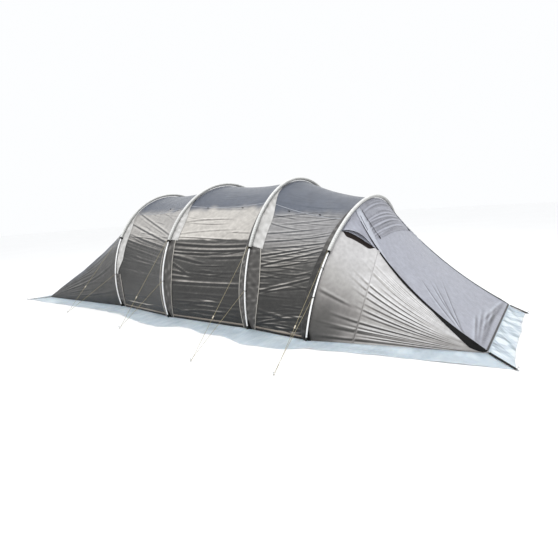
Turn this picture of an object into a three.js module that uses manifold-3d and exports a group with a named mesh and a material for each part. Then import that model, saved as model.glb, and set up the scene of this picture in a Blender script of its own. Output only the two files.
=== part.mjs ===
// A pitched tunnel tent on four bent poles, in millimetres: +X is the front, +Y the far side, +Z up,
// and Z = 0 is the ground. Each pole, fabric panel, skirt, guyline, runner and peg is its own mesh.
import * as THREE from 'three';
import Module from 'manifold-3d';
import { mergeVertices } from 'three/addons/utils/BufferGeometryUtils.js';

const wasm = await Module();
wasm.setup();

// Each hoop stands at x on the ground and leans forward by lean per millimetre of height. Its centre
// line is an arc of an ellipse, foot either side of the middle on the ground and wide at its widest.
const HOOPS = [
  { x: -1614, foot: 1333, wide: 1394, high: 1907, lean: 0.016 },
  { x: -210, foot: 1454, wide: 1520, high: 1984, lean: 0.058 },
  { x: 1310, foot: 1399, wide: 1427, high: 1944, lean: 0.024 },
  { x: 2224, foot: 1454, wide: 1458, high: 1614, lean: 0.18 },
];
const REAR = { x: -3968, half: 1472 };
const FRONT = { x: 4018, half: 973 };

const POLE_R = 10;
const POLE_STEPS = 36;
const SLEEVE_R = 25;
const SLEEVE_BORE_R = 19;
const SLEEVE_BELOW_GUY = 25;
const SLEEVE_STEPS = 24;
const CUP_R = 16;
const CUP_HIGH = 45;
const CUP_Z = 8;

const FLY_INSET = 29;
const FLY_THICK = 5;
const HEM_Z = 3;
const END_HEM_Z = 30;
const GAP = 0.6;
const BAY_SAG = 55;
const BAY_STEPS = [0, 0.12, 0.35, 0.65, 0.88, 1];
const ARCH_STEPS = 24;

const SHEET_THICK = 2;
const SKIRT_TUCK = 6;
const REAR_PANEL_FROM_Z = 1217;
const REAR_STEPS = [0, 0.15, 0.35, 0.55, 0.75, 0.9, 1];
const REAR_SAG = 45;

// The front door seam is a circle's arc from the front hoop to the front corner.
const SEAM_TOP_Y = 602;
const SEAM_MIDDLE = [3418, -905, 430];
const DOOR_FOLD_U = 0.28;
const DOOR_CLEAR = 0.045;
const FRONT_STEPS = [0, 0.07, 0.14, 0.21, DOOR_FOLD_U, 0.42, 0.58, 0.74, 0.88, 1];
const SIDE_STEPS = 10;
const TOP_STEPS = 10;

const VENT_FROM = 0.765;
const VENT_BEND = 0.8;
const VENT_WIDE = 0.045;
const HOOD_STAND_OFF = 70;

const CORD_R = 2;
const SECTION_SIDES = 8;
const PEG_R = 3;
const PEG_HIGH = 42;
const PEG_HOOK = 16;
const CORD_ON_PEG_Z = 14;
const ANCHOR_GAP = 4;
const RUNNER_R = 8;
const RUNNER_BORE_R = 3.2;
const RUNNER_LONG = 34;
const RUNNER_PLACE = 0.34;
const STRAP_WIDE = 20;
const STRAP_THICK = 2;
const STRAP_Z = 5;
const SLIDER = { long: 26, wide: 12, thick: 6, pull: 34, off: 11, place: 0.93 };

// A guyline to each leg, in the hoops' order: from a high anchor on the sleeve's end to its peg and
// back up to a low anchor on the bare pole.
const GUYS = [
  { high: 1217, low: 595, peg: [-2196, 1995] },
  { high: 1180, low: 584, peg: [-426, 2136] },
  { high: 1083, low: 529, peg: [1444, 2492] },
  { high: 1034, low: 525, peg: [2430, 2357] },
];
const CORNER_PEGS = {
  rear: { near: [-4285, -1790], far: [-4285, 1790] },
  front: { near: [4285, -1262], far: [4250, 690] },
};

// How far the free edge of each side skirt lies outside the hem at the four hoops, and how far past
// the hem and outside it at the corners. The front skirt is pulled towards the near side.
const SKIRT_OUT = [330, 350, 370, 260];
const SKIRT_CORNERS = {
  rear: { near: [-300, 290], far: [-300, 290] },
  front: { near: [250, 270], far: [0, 12] },
};
const FRONT_SKIRT_FAR = [4222, 690];

const SIDES = [['near', -1], ['far', 1]];

const cloth = (color, roughness = 0.45) => new THREE.MeshStandardMaterial({ color, roughness, metalness: 0 });
const MATERIALS = {
  pole: new THREE.MeshStandardMaterial({ color: 0xd9dbdc, roughness: 0.35, metalness: 0.8 }),
  sleeve: cloth(0xb9bbb8, 0.5),
  fly: cloth(0x55524c, 0.38),
  door: cloth(0x8f8980, 0.45),
  frontPanel: cloth(0x7f8087, 0.5),
  skirt: cloth(0xd4e1ec, 0.6),
  groundsheet: cloth(0x3c3f42, 0.7),
  cord: cloth(0xc9bea0, 0.8),
  runner: cloth(0xd8d2c0, 0.4),
  webbing: cloth(0x24221f, 0.8),
  peg: new THREE.MeshStandardMaterial({ color: 0xb6b9ba, roughness: 0.4, metalness: 0.9 }),
  slider: new THREE.MeshStandardMaterial({ color: 0x1b1b1c, roughness: 0.4, metalness: 0.6 }),
};

const tent = new THREE.Group();

function add(name, geometry, material) {
  const mesh = new THREE.Mesh(geometry, material);
  mesh.name = name;
  tent.add(mesh);
}

const vec = (x, y, z) => new THREE.Vector3(x, y, z);
const mix = (a, b, t) => a.clone().lerp(b, t);
const smooth = (t) => THREE.MathUtils.smoothstep(t, 0, 1);
// A near-side point (y below zero) put on the near side (-1) or the far side (1).
const onSide = (p, side) => vec(p.x, -side * p.y, p.z);

// ---- hoops -----------------------------------------------------------------------------------

function hoopArc(hoop, inset = 0) {
  const foot = hoop.foot - inset;
  const wide = hoop.wide - inset;
  const high = hoop.high - inset;
  const half = high / (1 + Math.sqrt(1 - (foot / wide) ** 2));
  const middle = high - half;
  return {
    wide,
    half,
    middle,
    start: -Math.asin(middle / half),
    angleAtZ: (z) => Math.asin((z - middle) / half),
    angleAtY: (y) => Math.acos(y / wide),
    point(angle) {
      const z = middle + half * Math.sin(angle);
      return vec(hoop.x + hoop.lean * z, -wide * Math.cos(angle), z);
    },
  };
}

// A path through the given points, one step to a point.
class PointPath extends THREE.Curve {
  constructor(points) {
    super();
    this.points = points;
  }
  getPoint(t) {
    const place = t * (this.points.length - 1);
    const index = Math.min(Math.floor(place), this.points.length - 2);
    return mix(this.points[index], this.points[index + 1], place - index);
  }
  getPointAt(t) {
    return this.getPoint(t);
  }
  getSpacedPoints() {
    return this.points.map((p) => p.clone());
  }
  getTangentAt(t) {
    const index = Math.round(t * (this.points.length - 1));
    const before = this.points[Math.max(index - 1, 0)];
    const here = this.points[index];
    const after = this.points[Math.min(index + 1, this.points.length - 1)];
    const into = here.clone().sub(before).normalize();
    const out = after.clone().sub(here).normalize();
    return into.add(out).normalize();
  }
}

function ring(radius) {
  const corners = [];
  for (let i = 0; i < SECTION_SIDES; i += 1) {
    const angle = ((i + 0.5) / SECTION_SIDES) * 2 * Math.PI;
    corners.push(new THREE.Vector2(radius * Math.cos(angle), radius * Math.sin(angle)));
  }
  return corners;
}

function tube(points, radius, bore = 0) {
  const section = new THREE.Shape(ring(radius));
  if (bore > 0) section.holes.push(new THREE.Path(ring(bore).reverse()));
  return new THREE.ExtrudeGeometry(section, { steps: points.length - 1, extrudePath: new PointPath(points) });
}

function arcPoints(arc, from, steps) {
  const points = [];
  for (let i = 0; i <= steps; i += 1) points.push(arc.point(from + (i / steps) * (Math.PI - 2 * from)));
  return points;
}

function toManifold(geometry) {
  const bare = new THREE.BufferGeometry();
  bare.setAttribute('position', geometry.getAttribute('position'));
  if (geometry.index) bare.setIndex(geometry.index);
  const merged = mergeVertices(bare, 1e-3);
  const vertProperties = Float32Array.from(merged.getAttribute('position').array);
  const triVerts = Uint32Array.from(merged.index.array);
  return new wasm.Manifold(new wasm.Mesh({ numProp: 3, vertProperties, triVerts }));
}

function fromManifold(solid) {
  const { vertProperties, triVerts } = solid.getMesh();
  const geometry = new THREE.BufferGeometry();
  geometry.setAttribute('position', new THREE.BufferAttribute(vertProperties, 3));
  geometry.setIndex(new THREE.BufferAttribute(triVerts, 1));
  return geometry;
}

HOOPS.forEach((hoop, index) => {
  const arc = hoopArc(hoop);
  let pole = toManifold(tube(arcPoints(arc, arc.angleAtZ(CUP_Z + POLE_R), POLE_STEPS), POLE_R));
  for (const [, side] of SIDES) {
    const ends = [CUP_Z, CUP_Z + CUP_HIGH].map((z) => onSide(arc.point(arc.angleAtZ(z)), side));
    pole = pole.add(toManifold(tube(ends, CUP_R)));
  }
  add(`pole_${index + 1}`, fromManifold(pole), MATERIALS.pole);
  const sleeveEnd = arc.angleAtZ(GUYS[index].high - SLEEVE_BELOW_GUY);
  const sleeve = tube(arcPoints(arc, sleeveEnd, SLEEVE_STEPS), SLEEVE_R, SLEEVE_BORE_R);
  add(`pole_sleeve_${index + 1}`, sleeve, MATERIALS.sleeve);
});

// ---- fabric shells ---------------------------------------------------------------------------

// The same ring of points moved inward by the fabric's thickness, square to the ring.
function insideRing(points) {
  return points.map((p, i) => {
    const before = points[Math.max(i - 1, 0)];
    const after = points[Math.min(i + 1, points.length - 1)];
    const across = (a, b) => new THREE.Vector2(b.z - a.z, -(b.y - a.y)).normalize();
    const first = i > 0 ? across(before, p) : across(p, after);
    const second = i < points.length - 1 ? across(p, after) : first;
    const normal = first.clone().add(second).normalize();
    const reach = FLY_THICK / Math.max(normal.dot(first), 0.5);
    const end = i === 0 || i === points.length - 1;
    return vec(p.x, p.y + normal.x * reach, end ? p.z : Math.max(p.z + normal.y * reach, HEM_Z));
  });
}

function pullEdges(rows) {
  const toward = (p, q) => p.clone().add(q.clone().sub(p).setLength(GAP));
  const pulled = rows.map((row) => {
    const last = row.length - 1;
    return row.map((p, k) => {
      if (k === 0) return toward(p, row[1]);
      return k === last ? toward(p, row[last - 1]) : p;
    });
  });
  const last = pulled.length - 1;
  return pulled.map((row, j) => {
    if (j === 0) return row.map((p, k) => toward(p, pulled[1][k]));
    return j === last ? row.map((p, k) => toward(p, pulled[last - 1][k])) : row;
  });
}

// A closed sheet between an outer and an inner grid of points.
function sheet(outer, inner) {
  const grids = [outer, inner];
  const across = outer[0].length;
  const corners = [];
  const faces = [];
  const at = (g, j, k) => (g * outer.length + j) * across + k;
  for (const grid of grids) for (const row of grid) for (const p of row) corners.push(p.x, p.y, p.z);
  const quad = (a, b, c, d) => faces.push(a, b, c, a, c, d);
  for (let j = 0; j < outer.length - 1; j += 1) {
    for (let k = 0; k < across - 1; k += 1) {
      quad(at(0, j, k), at(0, j + 1, k), at(0, j + 1, k + 1), at(0, j, k + 1));
      quad(at(1, j, k), at(1, j, k + 1), at(1, j + 1, k + 1), at(1, j + 1, k));
    }
    quad(at(0, j, 0), at(1, j, 0), at(1, j + 1, 0), at(0, j + 1, 0));
    quad(at(0, j, across - 1), at(0, j + 1, across - 1), at(1, j + 1, across - 1), at(1, j, across - 1));
  }
  for (let k = 0; k < across - 1; k += 1) {
    const last = outer.length - 1;
    quad(at(0, 0, k), at(0, 0, k + 1), at(1, 0, k + 1), at(1, 0, k));
    quad(at(0, last, k), at(1, last, k), at(1, last, k + 1), at(0, last, k + 1));
  }
  if (volume(corners, faces) < 0) {
    for (let i = 0; i < faces.length; i += 3) faces.splice(i + 1, 2, faces[i + 2], faces[i + 1]);
  }
  const geometry = new THREE.BufferGeometry();
  geometry.setAttribute('position', new THREE.Float32BufferAttribute(corners, 3));
  geometry.setIndex(faces);
  return geometry;
}

function volume(corners, faces) {
  const corner = (i) => vec(...corners.slice(3 * i, 3 * i + 3));
  let total = 0;
  for (let i = 0; i < faces.length; i += 3) {
    total += corner(faces[i]).dot(corner(faces[i + 1]).cross(corner(faces[i + 2])));
  }
  return total / 6;
}

function panel(rings, from, to) {
  const outer = rings.map((points) => points.slice(from, to + 1));
  const inner = rings.map((points) => insideRing(points).slice(from, to + 1));
  return sheet(pullEdges(outer), pullEdges(inner));
}

// Fabric hangs slack between the poles, most at mid-span and not at all at the hem.
function sagged(p, amount) {
  const held = Math.min(1, Math.max(p.z, 0) / 600);
  const inward = vec(0, -p.y, -Math.max(p.z, 0)).normalize();
  const moved = p.clone().addScaledVector(inward, amount * held);
  moved.z = Math.max(moved.z, HEM_Z);
  return moved;
}

const flyArcs = HOOPS.map((hoop) => hoopArc(hoop, FLY_INSET));
const flyRings = flyArcs.map((arc) => arcPoints(arc, arc.start, ARCH_STEPS));

for (let bay = 0; bay < HOOPS.length - 1; bay += 1) {
  const rings = BAY_STEPS.map((u) => {
    const sag = BAY_SAG * 4 * u * (1 - u);
    return flyRings[bay].map((p, k) => sagged(mix(p, flyRings[bay + 1][k], u), sag));
  });
  add(`fly_bay_${bay + 1}`, panel(rings, 0, ARCH_STEPS), MATERIALS.fly);
}

// ---- rear end: two side panels that run to the corners and a roof panel down to the rear hem --

const rearArc = flyArcs[0];
const rearCut = Math.round(
  ((rearArc.angleAtZ(REAR_PANEL_FROM_Z) - rearArc.start) / (Math.PI - 2 * rearArc.start)) * ARCH_STEPS,
);
const rearRings = REAR_STEPS.map((u) => flyRings[0].map((p, k) => {
  const across = THREE.MathUtils.clamp((k - rearCut) / (ARCH_STEPS - 2 * rearCut), 0, 1);
  const up = Math.min(k, ARCH_STEPS - k, rearCut) / rearCut;
  const hem = vec(REAR.x, (2 * across - 1) * REAR.half, up * END_HEM_Z);
  return sagged(mix(p, hem, u), REAR_SAG * 4 * u * (1 - u));
}));
add('fly_rear_side_near', panel(rearRings, 0, rearCut), MATERIALS.fly);
add('fly_rear_roof', panel(rearRings, rearCut, ARCH_STEPS - rearCut), MATERIALS.fly);
add('fly_rear_side_far', panel(rearRings, ARCH_STEPS - rearCut, ARCH_STEPS), MATERIALS.fly);

// ---- front end: side panels with a folding door each, a roof panel, and a vent under a hood ---

const frontArc = flyArcs[3];
const seamTopAngle = frontArc.angleAtY(SEAM_TOP_Y);
const seamEnds = [frontArc.point(seamTopAngle), vec(FRONT.x, -FRONT.half, END_HEM_Z)];

function circleThrough(a, b, c) {
  const ab = b.clone().sub(a);
  const ac = c.clone().sub(a);
  const axis = ab.clone().cross(ac);
  const toCentre = axis.clone().cross(ab).multiplyScalar(ac.lengthSq());
  toCentre.add(ac.clone().cross(axis).multiplyScalar(ab.lengthSq()));
  const centre = a.clone().addScaledVector(toCentre, 1 / (2 * axis.lengthSq()));
  return { centre, axis: axis.normalize(), angle: a.clone().sub(centre).angleTo(c.clone().sub(centre)) };
}

const seamCircle = circleThrough(seamEnds[0], vec(...SEAM_MIDDLE), seamEnds[1]);

function seamPoint(u) {
  const spoke = seamEnds[0].clone().sub(seamCircle.centre);
  return spoke.applyAxisAngle(seamCircle.axis, u * seamCircle.angle).add(seamCircle.centre);
}

// The near side panel at u along the tent from the hoop, and v up from the hem to the seam.
function sidePoint(u, v) {
  const foot = frontArc.point(frontArc.start);
  const onHoop = frontArc.point(THREE.MathUtils.lerp(frontArc.start, seamTopAngle, v));
  const bulge = onHoop.sub(mix(foot, seamEnds[0], v));
  const hem = mix(foot, vec(FRONT.x, -FRONT.half, 0), u);
  return mix(hem, seamPoint(u), v).addScaledVector(bulge, 1 - smooth(u / DOOR_FOLD_U));
}

function roofPoint(u, across) {
  const angle = THREE.MathUtils.lerp(seamTopAngle, Math.PI - seamTopAngle, across);
  const onHoop = frontArc.point(angle);
  const ends = [seamEnds[0], onSide(seamEnds[0], 1)];
  const rise = onHoop.sub(mix(ends[0], ends[1], across));
  const seam = seamPoint(u);
  return mix(seam, onSide(seam, 1), across).addScaledVector(rise, (1 - u) ** 1.5);
}

const frontRings = FRONT_STEPS.map((u) => {
  const points = [];
  for (let k = 0; k <= SIDE_STEPS; k += 1) points.push(sidePoint(u, k / SIDE_STEPS));
  for (let k = 1; k < TOP_STEPS; k += 1) points.push(roofPoint(u, k / TOP_STEPS));
  for (let k = SIDE_STEPS; k >= 0; k -= 1) points.push(onSide(sidePoint(u, k / SIDE_STEPS), 1));
  for (const p of points) p.z = Math.max(p.z, HEM_Z);
  return points;
});
const foldRow = FRONT_STEPS.indexOf(DOOR_FOLD_U);
// The door starts a little past its fold line, so that it folds right back without touching.
const doorRings = [
  frontRings[foldRow].map((p, k) => mix(p, frontRings[foldRow + 1][k], DOOR_CLEAR)),
  ...frontRings.slice(foldRow + 1),
];
const roofEnd = SIDE_STEPS + TOP_STEPS;
const sideRange = { near: [0, SIDE_STEPS], far: [roofEnd, roofEnd + SIDE_STEPS] };
add('fly_front_roof', panel(frontRings, SIDE_STEPS, roofEnd), MATERIALS.frontPanel);

function outward(u, v) {
  const step = 0.01;
  const along = sidePoint(u + step, v).sub(sidePoint(u, v));
  const up = sidePoint(u, v).sub(sidePoint(u, v - step));
  return along.cross(up).normalize();
}

// A strip of the side panel's surface near the vent: heights give how far its two faces stand off.
function ventStrip(side, from, to, lowEdge, highEdge, heights) {
  const columns = 8;
  const rows = 5;
  const grids = [0, 1].map((face) => {
    const grid = [];
    for (let j = 0; j <= rows; j += 1) {
      const row = [];
      for (let i = 0; i <= columns; i += 1) {
        const u = THREE.MathUtils.lerp(from, to, i / columns);
        const v = THREE.MathUtils.lerp(lowEdge(u), highEdge(u), j / rows);
        const off = heights(i / columns, j / rows)[face];
        row.push(onSide(sidePoint(u, v).addScaledVector(outward(u, v), off), side));
      }
      grid.push(row);
    }
    return grid;
  });
  return sheet(grids[0], grids[1]);
}

const ventMiddle = (u) => VENT_FROM + (1 - VENT_FROM) * (u / DOOR_FOLD_U) ** VENT_BEND;
const ventLow = (u) => ventMiddle(u) - VENT_WIDE;
const hoodLow = (u) => ventMiddle(u) - VENT_WIDE / 2;
const hoodHigh = (u) => ventMiddle(u) + (1 - ventMiddle(u)) * 0.6 + 0.008;
const hoodFaces = (along, up) => {
  const stand = 6 + HOOD_STAND_OFF * Math.sin(Math.PI * along) * (1 - up) ** 1.5;
  return [stand + 3, stand];
};

for (const [name, side] of SIDES) {
  const [from, to] = sideRange[name];
  const backPanel = toManifold(panel(frontRings.slice(0, foldRow + 1), from, to));
  const opening = ventStrip(side, 0.03, 0.23, ventLow, ventMiddle, () => [30, -30]);
  add(`fly_front_side_${name}`, fromManifold(backPanel.subtract(toManifold(opening))), MATERIALS.door);
  add(`door_${name}`, panel(doorRings, from, to), MATERIALS.door);
  const hood = ventStrip(side, 0.03, 0.22, hoodLow, hoodHigh, hoodFaces);
  add(`vent_hood_${name}`, hood, MATERIALS.frontPanel);
}

// ---- skirts and groundsheet ------------------------------------------------------------------

const hemLine = [
  [REAR.x, REAR.half],
  ...HOOPS.map((hoop) => [hoop.x, hoop.foot - FLY_INSET]),
  [FRONT.x, FRONT.half],
];

function flatSheet(innerEdge, outerEdge) {
  const at = (z) => [innerEdge, outerEdge].map((edge) => edge.map(([x, y]) => vec(x, y, z)));
  return sheet(at(SHEET_THICK), at(0));
}

for (const [name, side] of SIDES) {
  const [rearCorner, frontCorner] = [SKIRT_CORNERS.rear[name], SKIRT_CORNERS.front[name]];
  const out = [rearCorner[1], ...SKIRT_OUT, frontCorner[1]];
  const inner = hemLine.map(([x, y]) => [x, side * (y - SKIRT_TUCK)]);
  const outer = hemLine.map(([x, y], i) => [x, side * (y + out[i])]);
  outer[0][0] += rearCorner[0] + GAP;
  outer[outer.length - 1][0] += frontCorner[0] - GAP;
  add(`skirt_${name}`, flatSheet(inner, outer), MATERIALS.skirt);
}

function endSkirt(end, nearCorner, farCorner) {
  const away = Math.sign(end.x);
  const inner = [-1, 1].map((side) => [end.x - away * SKIRT_TUCK, side * (end.half - 3 * SKIRT_TUCK)]);
  return flatSheet(inner, [nearCorner, farCorner]);
}
const endCorner = (end, [ahead, out], side) => [end.x + ahead, side * (end.half + out - 2 * SKIRT_TUCK)];
const [rearCorners, frontCorners] = [SKIRT_CORNERS.rear, SKIRT_CORNERS.front];
const rearSkirt = SIDES.map(([name, side]) => endCorner(REAR, rearCorners[name], side));
add('skirt_rear', endSkirt(REAR, ...rearSkirt), MATERIALS.skirt);
const frontNear = endCorner(FRONT, frontCorners.near, -1);
add('skirt_front', endSkirt(FRONT, frontNear, FRONT_SKIRT_FAR), MATERIALS.skirt);

const SHEET_INSET = 60;
const floorEdge = hemLine.slice(0, -1).map(([x, y]) => [x, y - SHEET_INSET]);
floorEdge[0][0] += SHEET_INSET;
const floorSide = (side) => floorEdge.map(([x, y]) => [x, side * y]);
add('groundsheet', flatSheet(floorSide(-1), floorSide(1)), MATERIALS.groundsheet);

// ---- pegs, guylines, runners and corner straps -----------------------------------------------

// A peg's head above the ground: a rod that bends away from the tent into a hook.
function pegGeometry(x, y, away) {
  const points = [vec(x, y, 1), vec(x, y, PEG_HIGH - PEG_HOOK / 2)];
  for (let i = 1; i <= 4; i += 1) {
    const angle = (i / 4) * Math.PI;
    const out = (PEG_HOOK / 2) * (1 - Math.cos(angle));
    const up = PEG_HIGH - PEG_HOOK / 2 + (PEG_HOOK / 2) * Math.sin(angle);
    points.push(vec(x, y, up).addScaledVector(away, out));
  }
  return tube(points, PEG_R);
}

GUYS.forEach((guy, index) => {
  for (const [name, side] of SIDES) {
    const number = index + 1;
    const anchor = (z, held) => {
      const arc = hoopArc(HOOPS[index], -held - CORD_R - ANCHOR_GAP);
      return onSide(arc.point(arc.angleAtZ(z)), side);
    };
    const [high, low] = [anchor(guy.high, SLEEVE_R), anchor(guy.low, POLE_R)];
    const peg = vec(guy.peg[0], side * guy.peg[1], CORD_ON_PEG_Z);
    const away = peg.clone().sub(high).setZ(0).normalize();
    const beside = vec(-away.y, away.x, 0).multiplyScalar(-side);
    const reach = PEG_R + CORD_R + 0.8;
    const bend = [];
    for (let i = 0; i <= 6; i += 1) {
      const angle = (i / 6) * Math.PI;
      const p = peg.clone().addScaledVector(beside, reach * Math.cos(angle));
      bend.push(p.addScaledVector(away, reach * Math.sin(angle)));
    }
    const down = [0, 0.25, 0.5, 0.75].map((t) => mix(high, bend[0], t));
    const up = [0.25, 0.5, 0.75, 1].map((t) => mix(bend[bend.length - 1], low, t));
    add(`guyline_${name}_${number}`, tube([...down, ...bend, ...up], CORD_R), MATERIALS.cord);
    add(`guy_peg_${name}_${number}`, pegGeometry(guy.peg[0], side * guy.peg[1], away), MATERIALS.peg);

    const along = high.clone().sub(bend[0]).normalize();
    const middle = mix(bend[0], high, RUNNER_PLACE);
    const ends = [-0.5, 0.5].map((t) => middle.clone().addScaledVector(along, t * RUNNER_LONG));
    add(`runner_${name}_${number}`, tube(ends, RUNNER_R, RUNNER_BORE_R), MATERIALS.runner);
  }
});

for (const [end, pegs] of Object.entries(CORNER_PEGS)) {
  const hem = end === 'rear' ? REAR : FRONT;
  for (const [name, side] of SIDES) {
    const [x, y] = pegs[name];
    const peg = vec(x, y, STRAP_Z);
    const corner = vec(hem.x, side * hem.half, STRAP_Z);
    const away = peg.clone().sub(corner).normalize();
    const start = corner.clone().addScaledVector(away, 2 * STRAP_WIDE);
    const long = start.distanceTo(peg) + STRAP_WIDE / 2;
    const outline = new THREE.Shape();
    outline.moveTo(0, -STRAP_WIDE / 2).lineTo(long, -STRAP_WIDE / 2);
    outline.lineTo(long, STRAP_WIDE / 2).lineTo(0, STRAP_WIDE / 2);
    const eyelet = ring(PEG_R + 2).map((p) => p.add(new THREE.Vector2(long - STRAP_WIDE / 2, 0)));
    outline.holes.push(new THREE.Path(eyelet));
    const strap = new THREE.ExtrudeGeometry(outline, { depth: STRAP_THICK, bevelEnabled: false });
    strap.rotateZ(Math.atan2(away.y, away.x));
    strap.translate(start.x, start.y, STRAP_Z - STRAP_THICK / 2);
    add(`corner_strap_${end}_${name}`, strap, MATERIALS.webbing);
    add(`corner_peg_${end}_${name}`, pegGeometry(x, y, away), MATERIALS.peg);
  }
}

// ---- zip sliders: each rides outside the door seam, its pull hanging down the seam ------------

for (const [name, side] of SIDES) {
  const here = seamPoint(SLIDER.place);
  const down = seamPoint(SLIDER.place + 0.01).sub(here).normalize();
  const off = outward(SLIDER.place, 1);
  const wide = down.clone().cross(off).normalize();
  const body = new THREE.BoxGeometry(SLIDER.long, SLIDER.wide, SLIDER.thick);
  const pull = new THREE.BoxGeometry(SLIDER.pull, SLIDER.wide / 2, SLIDER.thick / 3);
  pull.translate(SLIDER.pull / 2, 0, SLIDER.thick / 2 + SLIDER.thick / 12);
  const turn = new THREE.Matrix4().makeBasis(down, wide.negate(), off);
  const place = new THREE.Matrix4().setPosition(here.clone().addScaledVector(off, SLIDER.off));
  const slider = fromManifold(toManifold(body).add(toManifold(pull)));
  slider.applyMatrix4(place.multiply(turn));
  if (side > 0) {
    slider.scale(1, -1, 1);
    const index = Array.from(slider.index.array);
    for (let i = 0; i < index.length; i += 3) index.splice(i + 1, 2, index[i + 2], index[i + 1]);
    slider.setIndex(index);
  }
  add(`zip_slider_${name}`, slider, MATERIALS.slider);
}

export default tent;
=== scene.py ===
"""The looks of a pitched tunnel tent: cloth sheets, poles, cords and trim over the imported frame."""
import math
import random

import bpy
import numpy as np
from mathutils import Matrix, Vector
from numpy import linspace

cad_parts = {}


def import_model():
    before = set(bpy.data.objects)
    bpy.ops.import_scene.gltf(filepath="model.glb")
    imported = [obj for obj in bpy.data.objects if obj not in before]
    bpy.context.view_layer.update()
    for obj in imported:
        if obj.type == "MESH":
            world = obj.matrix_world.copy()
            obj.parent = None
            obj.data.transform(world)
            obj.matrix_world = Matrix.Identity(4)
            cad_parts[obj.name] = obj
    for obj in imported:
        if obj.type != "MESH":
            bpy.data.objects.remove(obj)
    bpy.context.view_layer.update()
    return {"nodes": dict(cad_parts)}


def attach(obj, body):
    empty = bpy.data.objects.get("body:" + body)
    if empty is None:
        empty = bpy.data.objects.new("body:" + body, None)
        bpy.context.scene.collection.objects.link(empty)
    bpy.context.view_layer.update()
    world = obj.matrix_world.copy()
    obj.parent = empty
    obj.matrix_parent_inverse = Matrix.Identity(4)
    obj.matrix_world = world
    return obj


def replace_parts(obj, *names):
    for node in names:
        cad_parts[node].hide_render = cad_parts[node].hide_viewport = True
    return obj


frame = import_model()

# ---- driving dimensions, in metres, in the frame's own axes ----

HOOPS = [
    dict(x=-1.614, foot=1.333, wide=1.394, high=1.907, lean=0.016),
    dict(x=-0.210, foot=1.454, wide=1.520, high=1.984, lean=0.058),
    dict(x=1.310, foot=1.399, wide=1.427, high=1.944, lean=0.024),
    dict(x=2.224, foot=1.454, wide=1.458, high=1.614, lean=0.18),
]
REAR_X, REAR_HALF = -3.968, 1.472
FRONT_X, FRONT_HALF = 4.018, 0.973
POLE_R, SLEEVE_R = 0.010, 0.025
FLY_INSET, HEM_Z, END_HEM_Z = 0.029, 0.003, 0.030
BAY_SAG, REAR_SAG, SAG_FROM_Z = 0.055, 0.045, 0.6
ARCH_STEPS = 24
REAR_PANEL_FROM_Z = 1.217
SEAM_TOP_Y = 0.602
SEAM_MIDDLE = (3.418, -0.905, 0.430)
DOOR_FOLD_U = 0.28
VENT_FROM, VENT_BEND, VENT_WIDE = 0.765, 0.8, 0.045
GUYS = [
    dict(high=1.217, low=0.595, peg=(-2.196, 1.995)),
    dict(high=1.180, low=0.584, peg=(-0.426, 2.136)),
    dict(high=1.083, low=0.529, peg=(1.444, 2.492)),
    dict(high=1.034, low=0.525, peg=(2.430, 2.357)),
]
CORD_R, PEG_R, CORD_ON_PEG_Z, ANCHOR_GAP, PEG_BEND_GAP = 0.002, 0.003, 0.014, 0.004, 0.0008
CORNER_PEGS = {
    "rear": {"near": (-4.285, -1.790), "far": (-4.285, 1.790)},
    "front": {"near": (4.285, -1.262), "far": (4.250, 0.690)},
}
SKIRT_OUT = dict(rear=0.300, rear_corner=0.290, front_corner=0.270, front=0.250)
FRONT_SKIRT_FAR = (4.222, 0.690)
SIDES = (("near", -1), ("far", 1))
ROOT = "tent"
X_AXIS, Z_AXIS = np.array([1.0, 0.0, 0.0]), np.array([0.0, 0.0, 1.0])


# ---- shapes of the cloth ----

def smooth(t):
    t = np.clip(t, 0.0, 1.0)
    return t * t * (3 - 2 * t)


def window(t, start, end, soft):
    return smooth((t - start) / soft) * smooth((end - t) / soft)


def fade(t, first, last):
    """Nothing at 0 and 1, rising over first and falling over last."""
    return smooth(t / first) * smooth((1 - t) / last)


def lerp(span, t):
    return span[0] + (span[1] - span[0]) * t


def between(low, high, rows):
    return lerp((low[:, None], high[:, None]), linspace(0, 1, rows)[None, :])


def unit(v):
    return v / np.maximum(np.linalg.norm(v, axis=-1, keepdims=True), 1e-12)


def points(x, y, z):
    return np.stack(np.broadcast_arrays(x, y, z), axis=-1).astype(float)


def grid(a, b):
    return np.meshgrid(a, b, indexing="ij")


def mirrored(p, side):
    """A near-side point put on the near side (-1) or the far side (1)."""
    return p * np.array([1.0, -side, 1.0])


class Arc:
    """One hoop's line, moved inward by inset."""

    def __init__(self, hoop, inset=0.0):
        foot, self.wide, high = hoop["foot"] - inset, hoop["wide"] - inset, hoop["high"] - inset
        self.half = high / (1 + math.sqrt(1 - (foot / self.wide) ** 2))
        self.middle = high - self.half
        self.start = -math.asin(self.middle / self.half)
        self.x, self.lean = hoop["x"], hoop["lean"]

    def angle_at_z(self, z):
        return math.asin((z - self.middle) / self.half)

    def angle_at_y(self, y):
        return math.acos(y / self.wide)

    def point(self, angle):
        z = self.middle + self.half * np.sin(angle)
        return points(self.x + self.lean * z, -self.wide * np.cos(angle), z)

    def across(self, share):
        """The point at share 0 to 1 from the near hem over the top to the far hem."""
        return self.point(self.start + (math.pi - 2 * self.start) * share)

    def share_at_z(self, z):
        return (self.angle_at_z(z) - self.start) / (math.pi - 2 * self.start)


POLE_ARCS = [Arc(hoop) for hoop in HOOPS]
FLY_ARCS = [Arc(hoop, FLY_INSET) for hoop in HOOPS]
REAR_CUT = round(FLY_ARCS[0].share_at_z(REAR_PANEL_FROM_Z) * ARCH_STEPS) / ARCH_STEPS


def above_hem(p):
    p[..., 2] = np.maximum(p[..., 2], HEM_Z)
    return p


def sagged(p, amount):
    z = np.maximum(p[..., 2], 0.0)
    inward = unit(points(0 * z, -p[..., 1], -z))
    return above_hem(p + inward * (amount * np.minimum(1.0, z / SAG_FROM_Z))[..., None])


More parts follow.
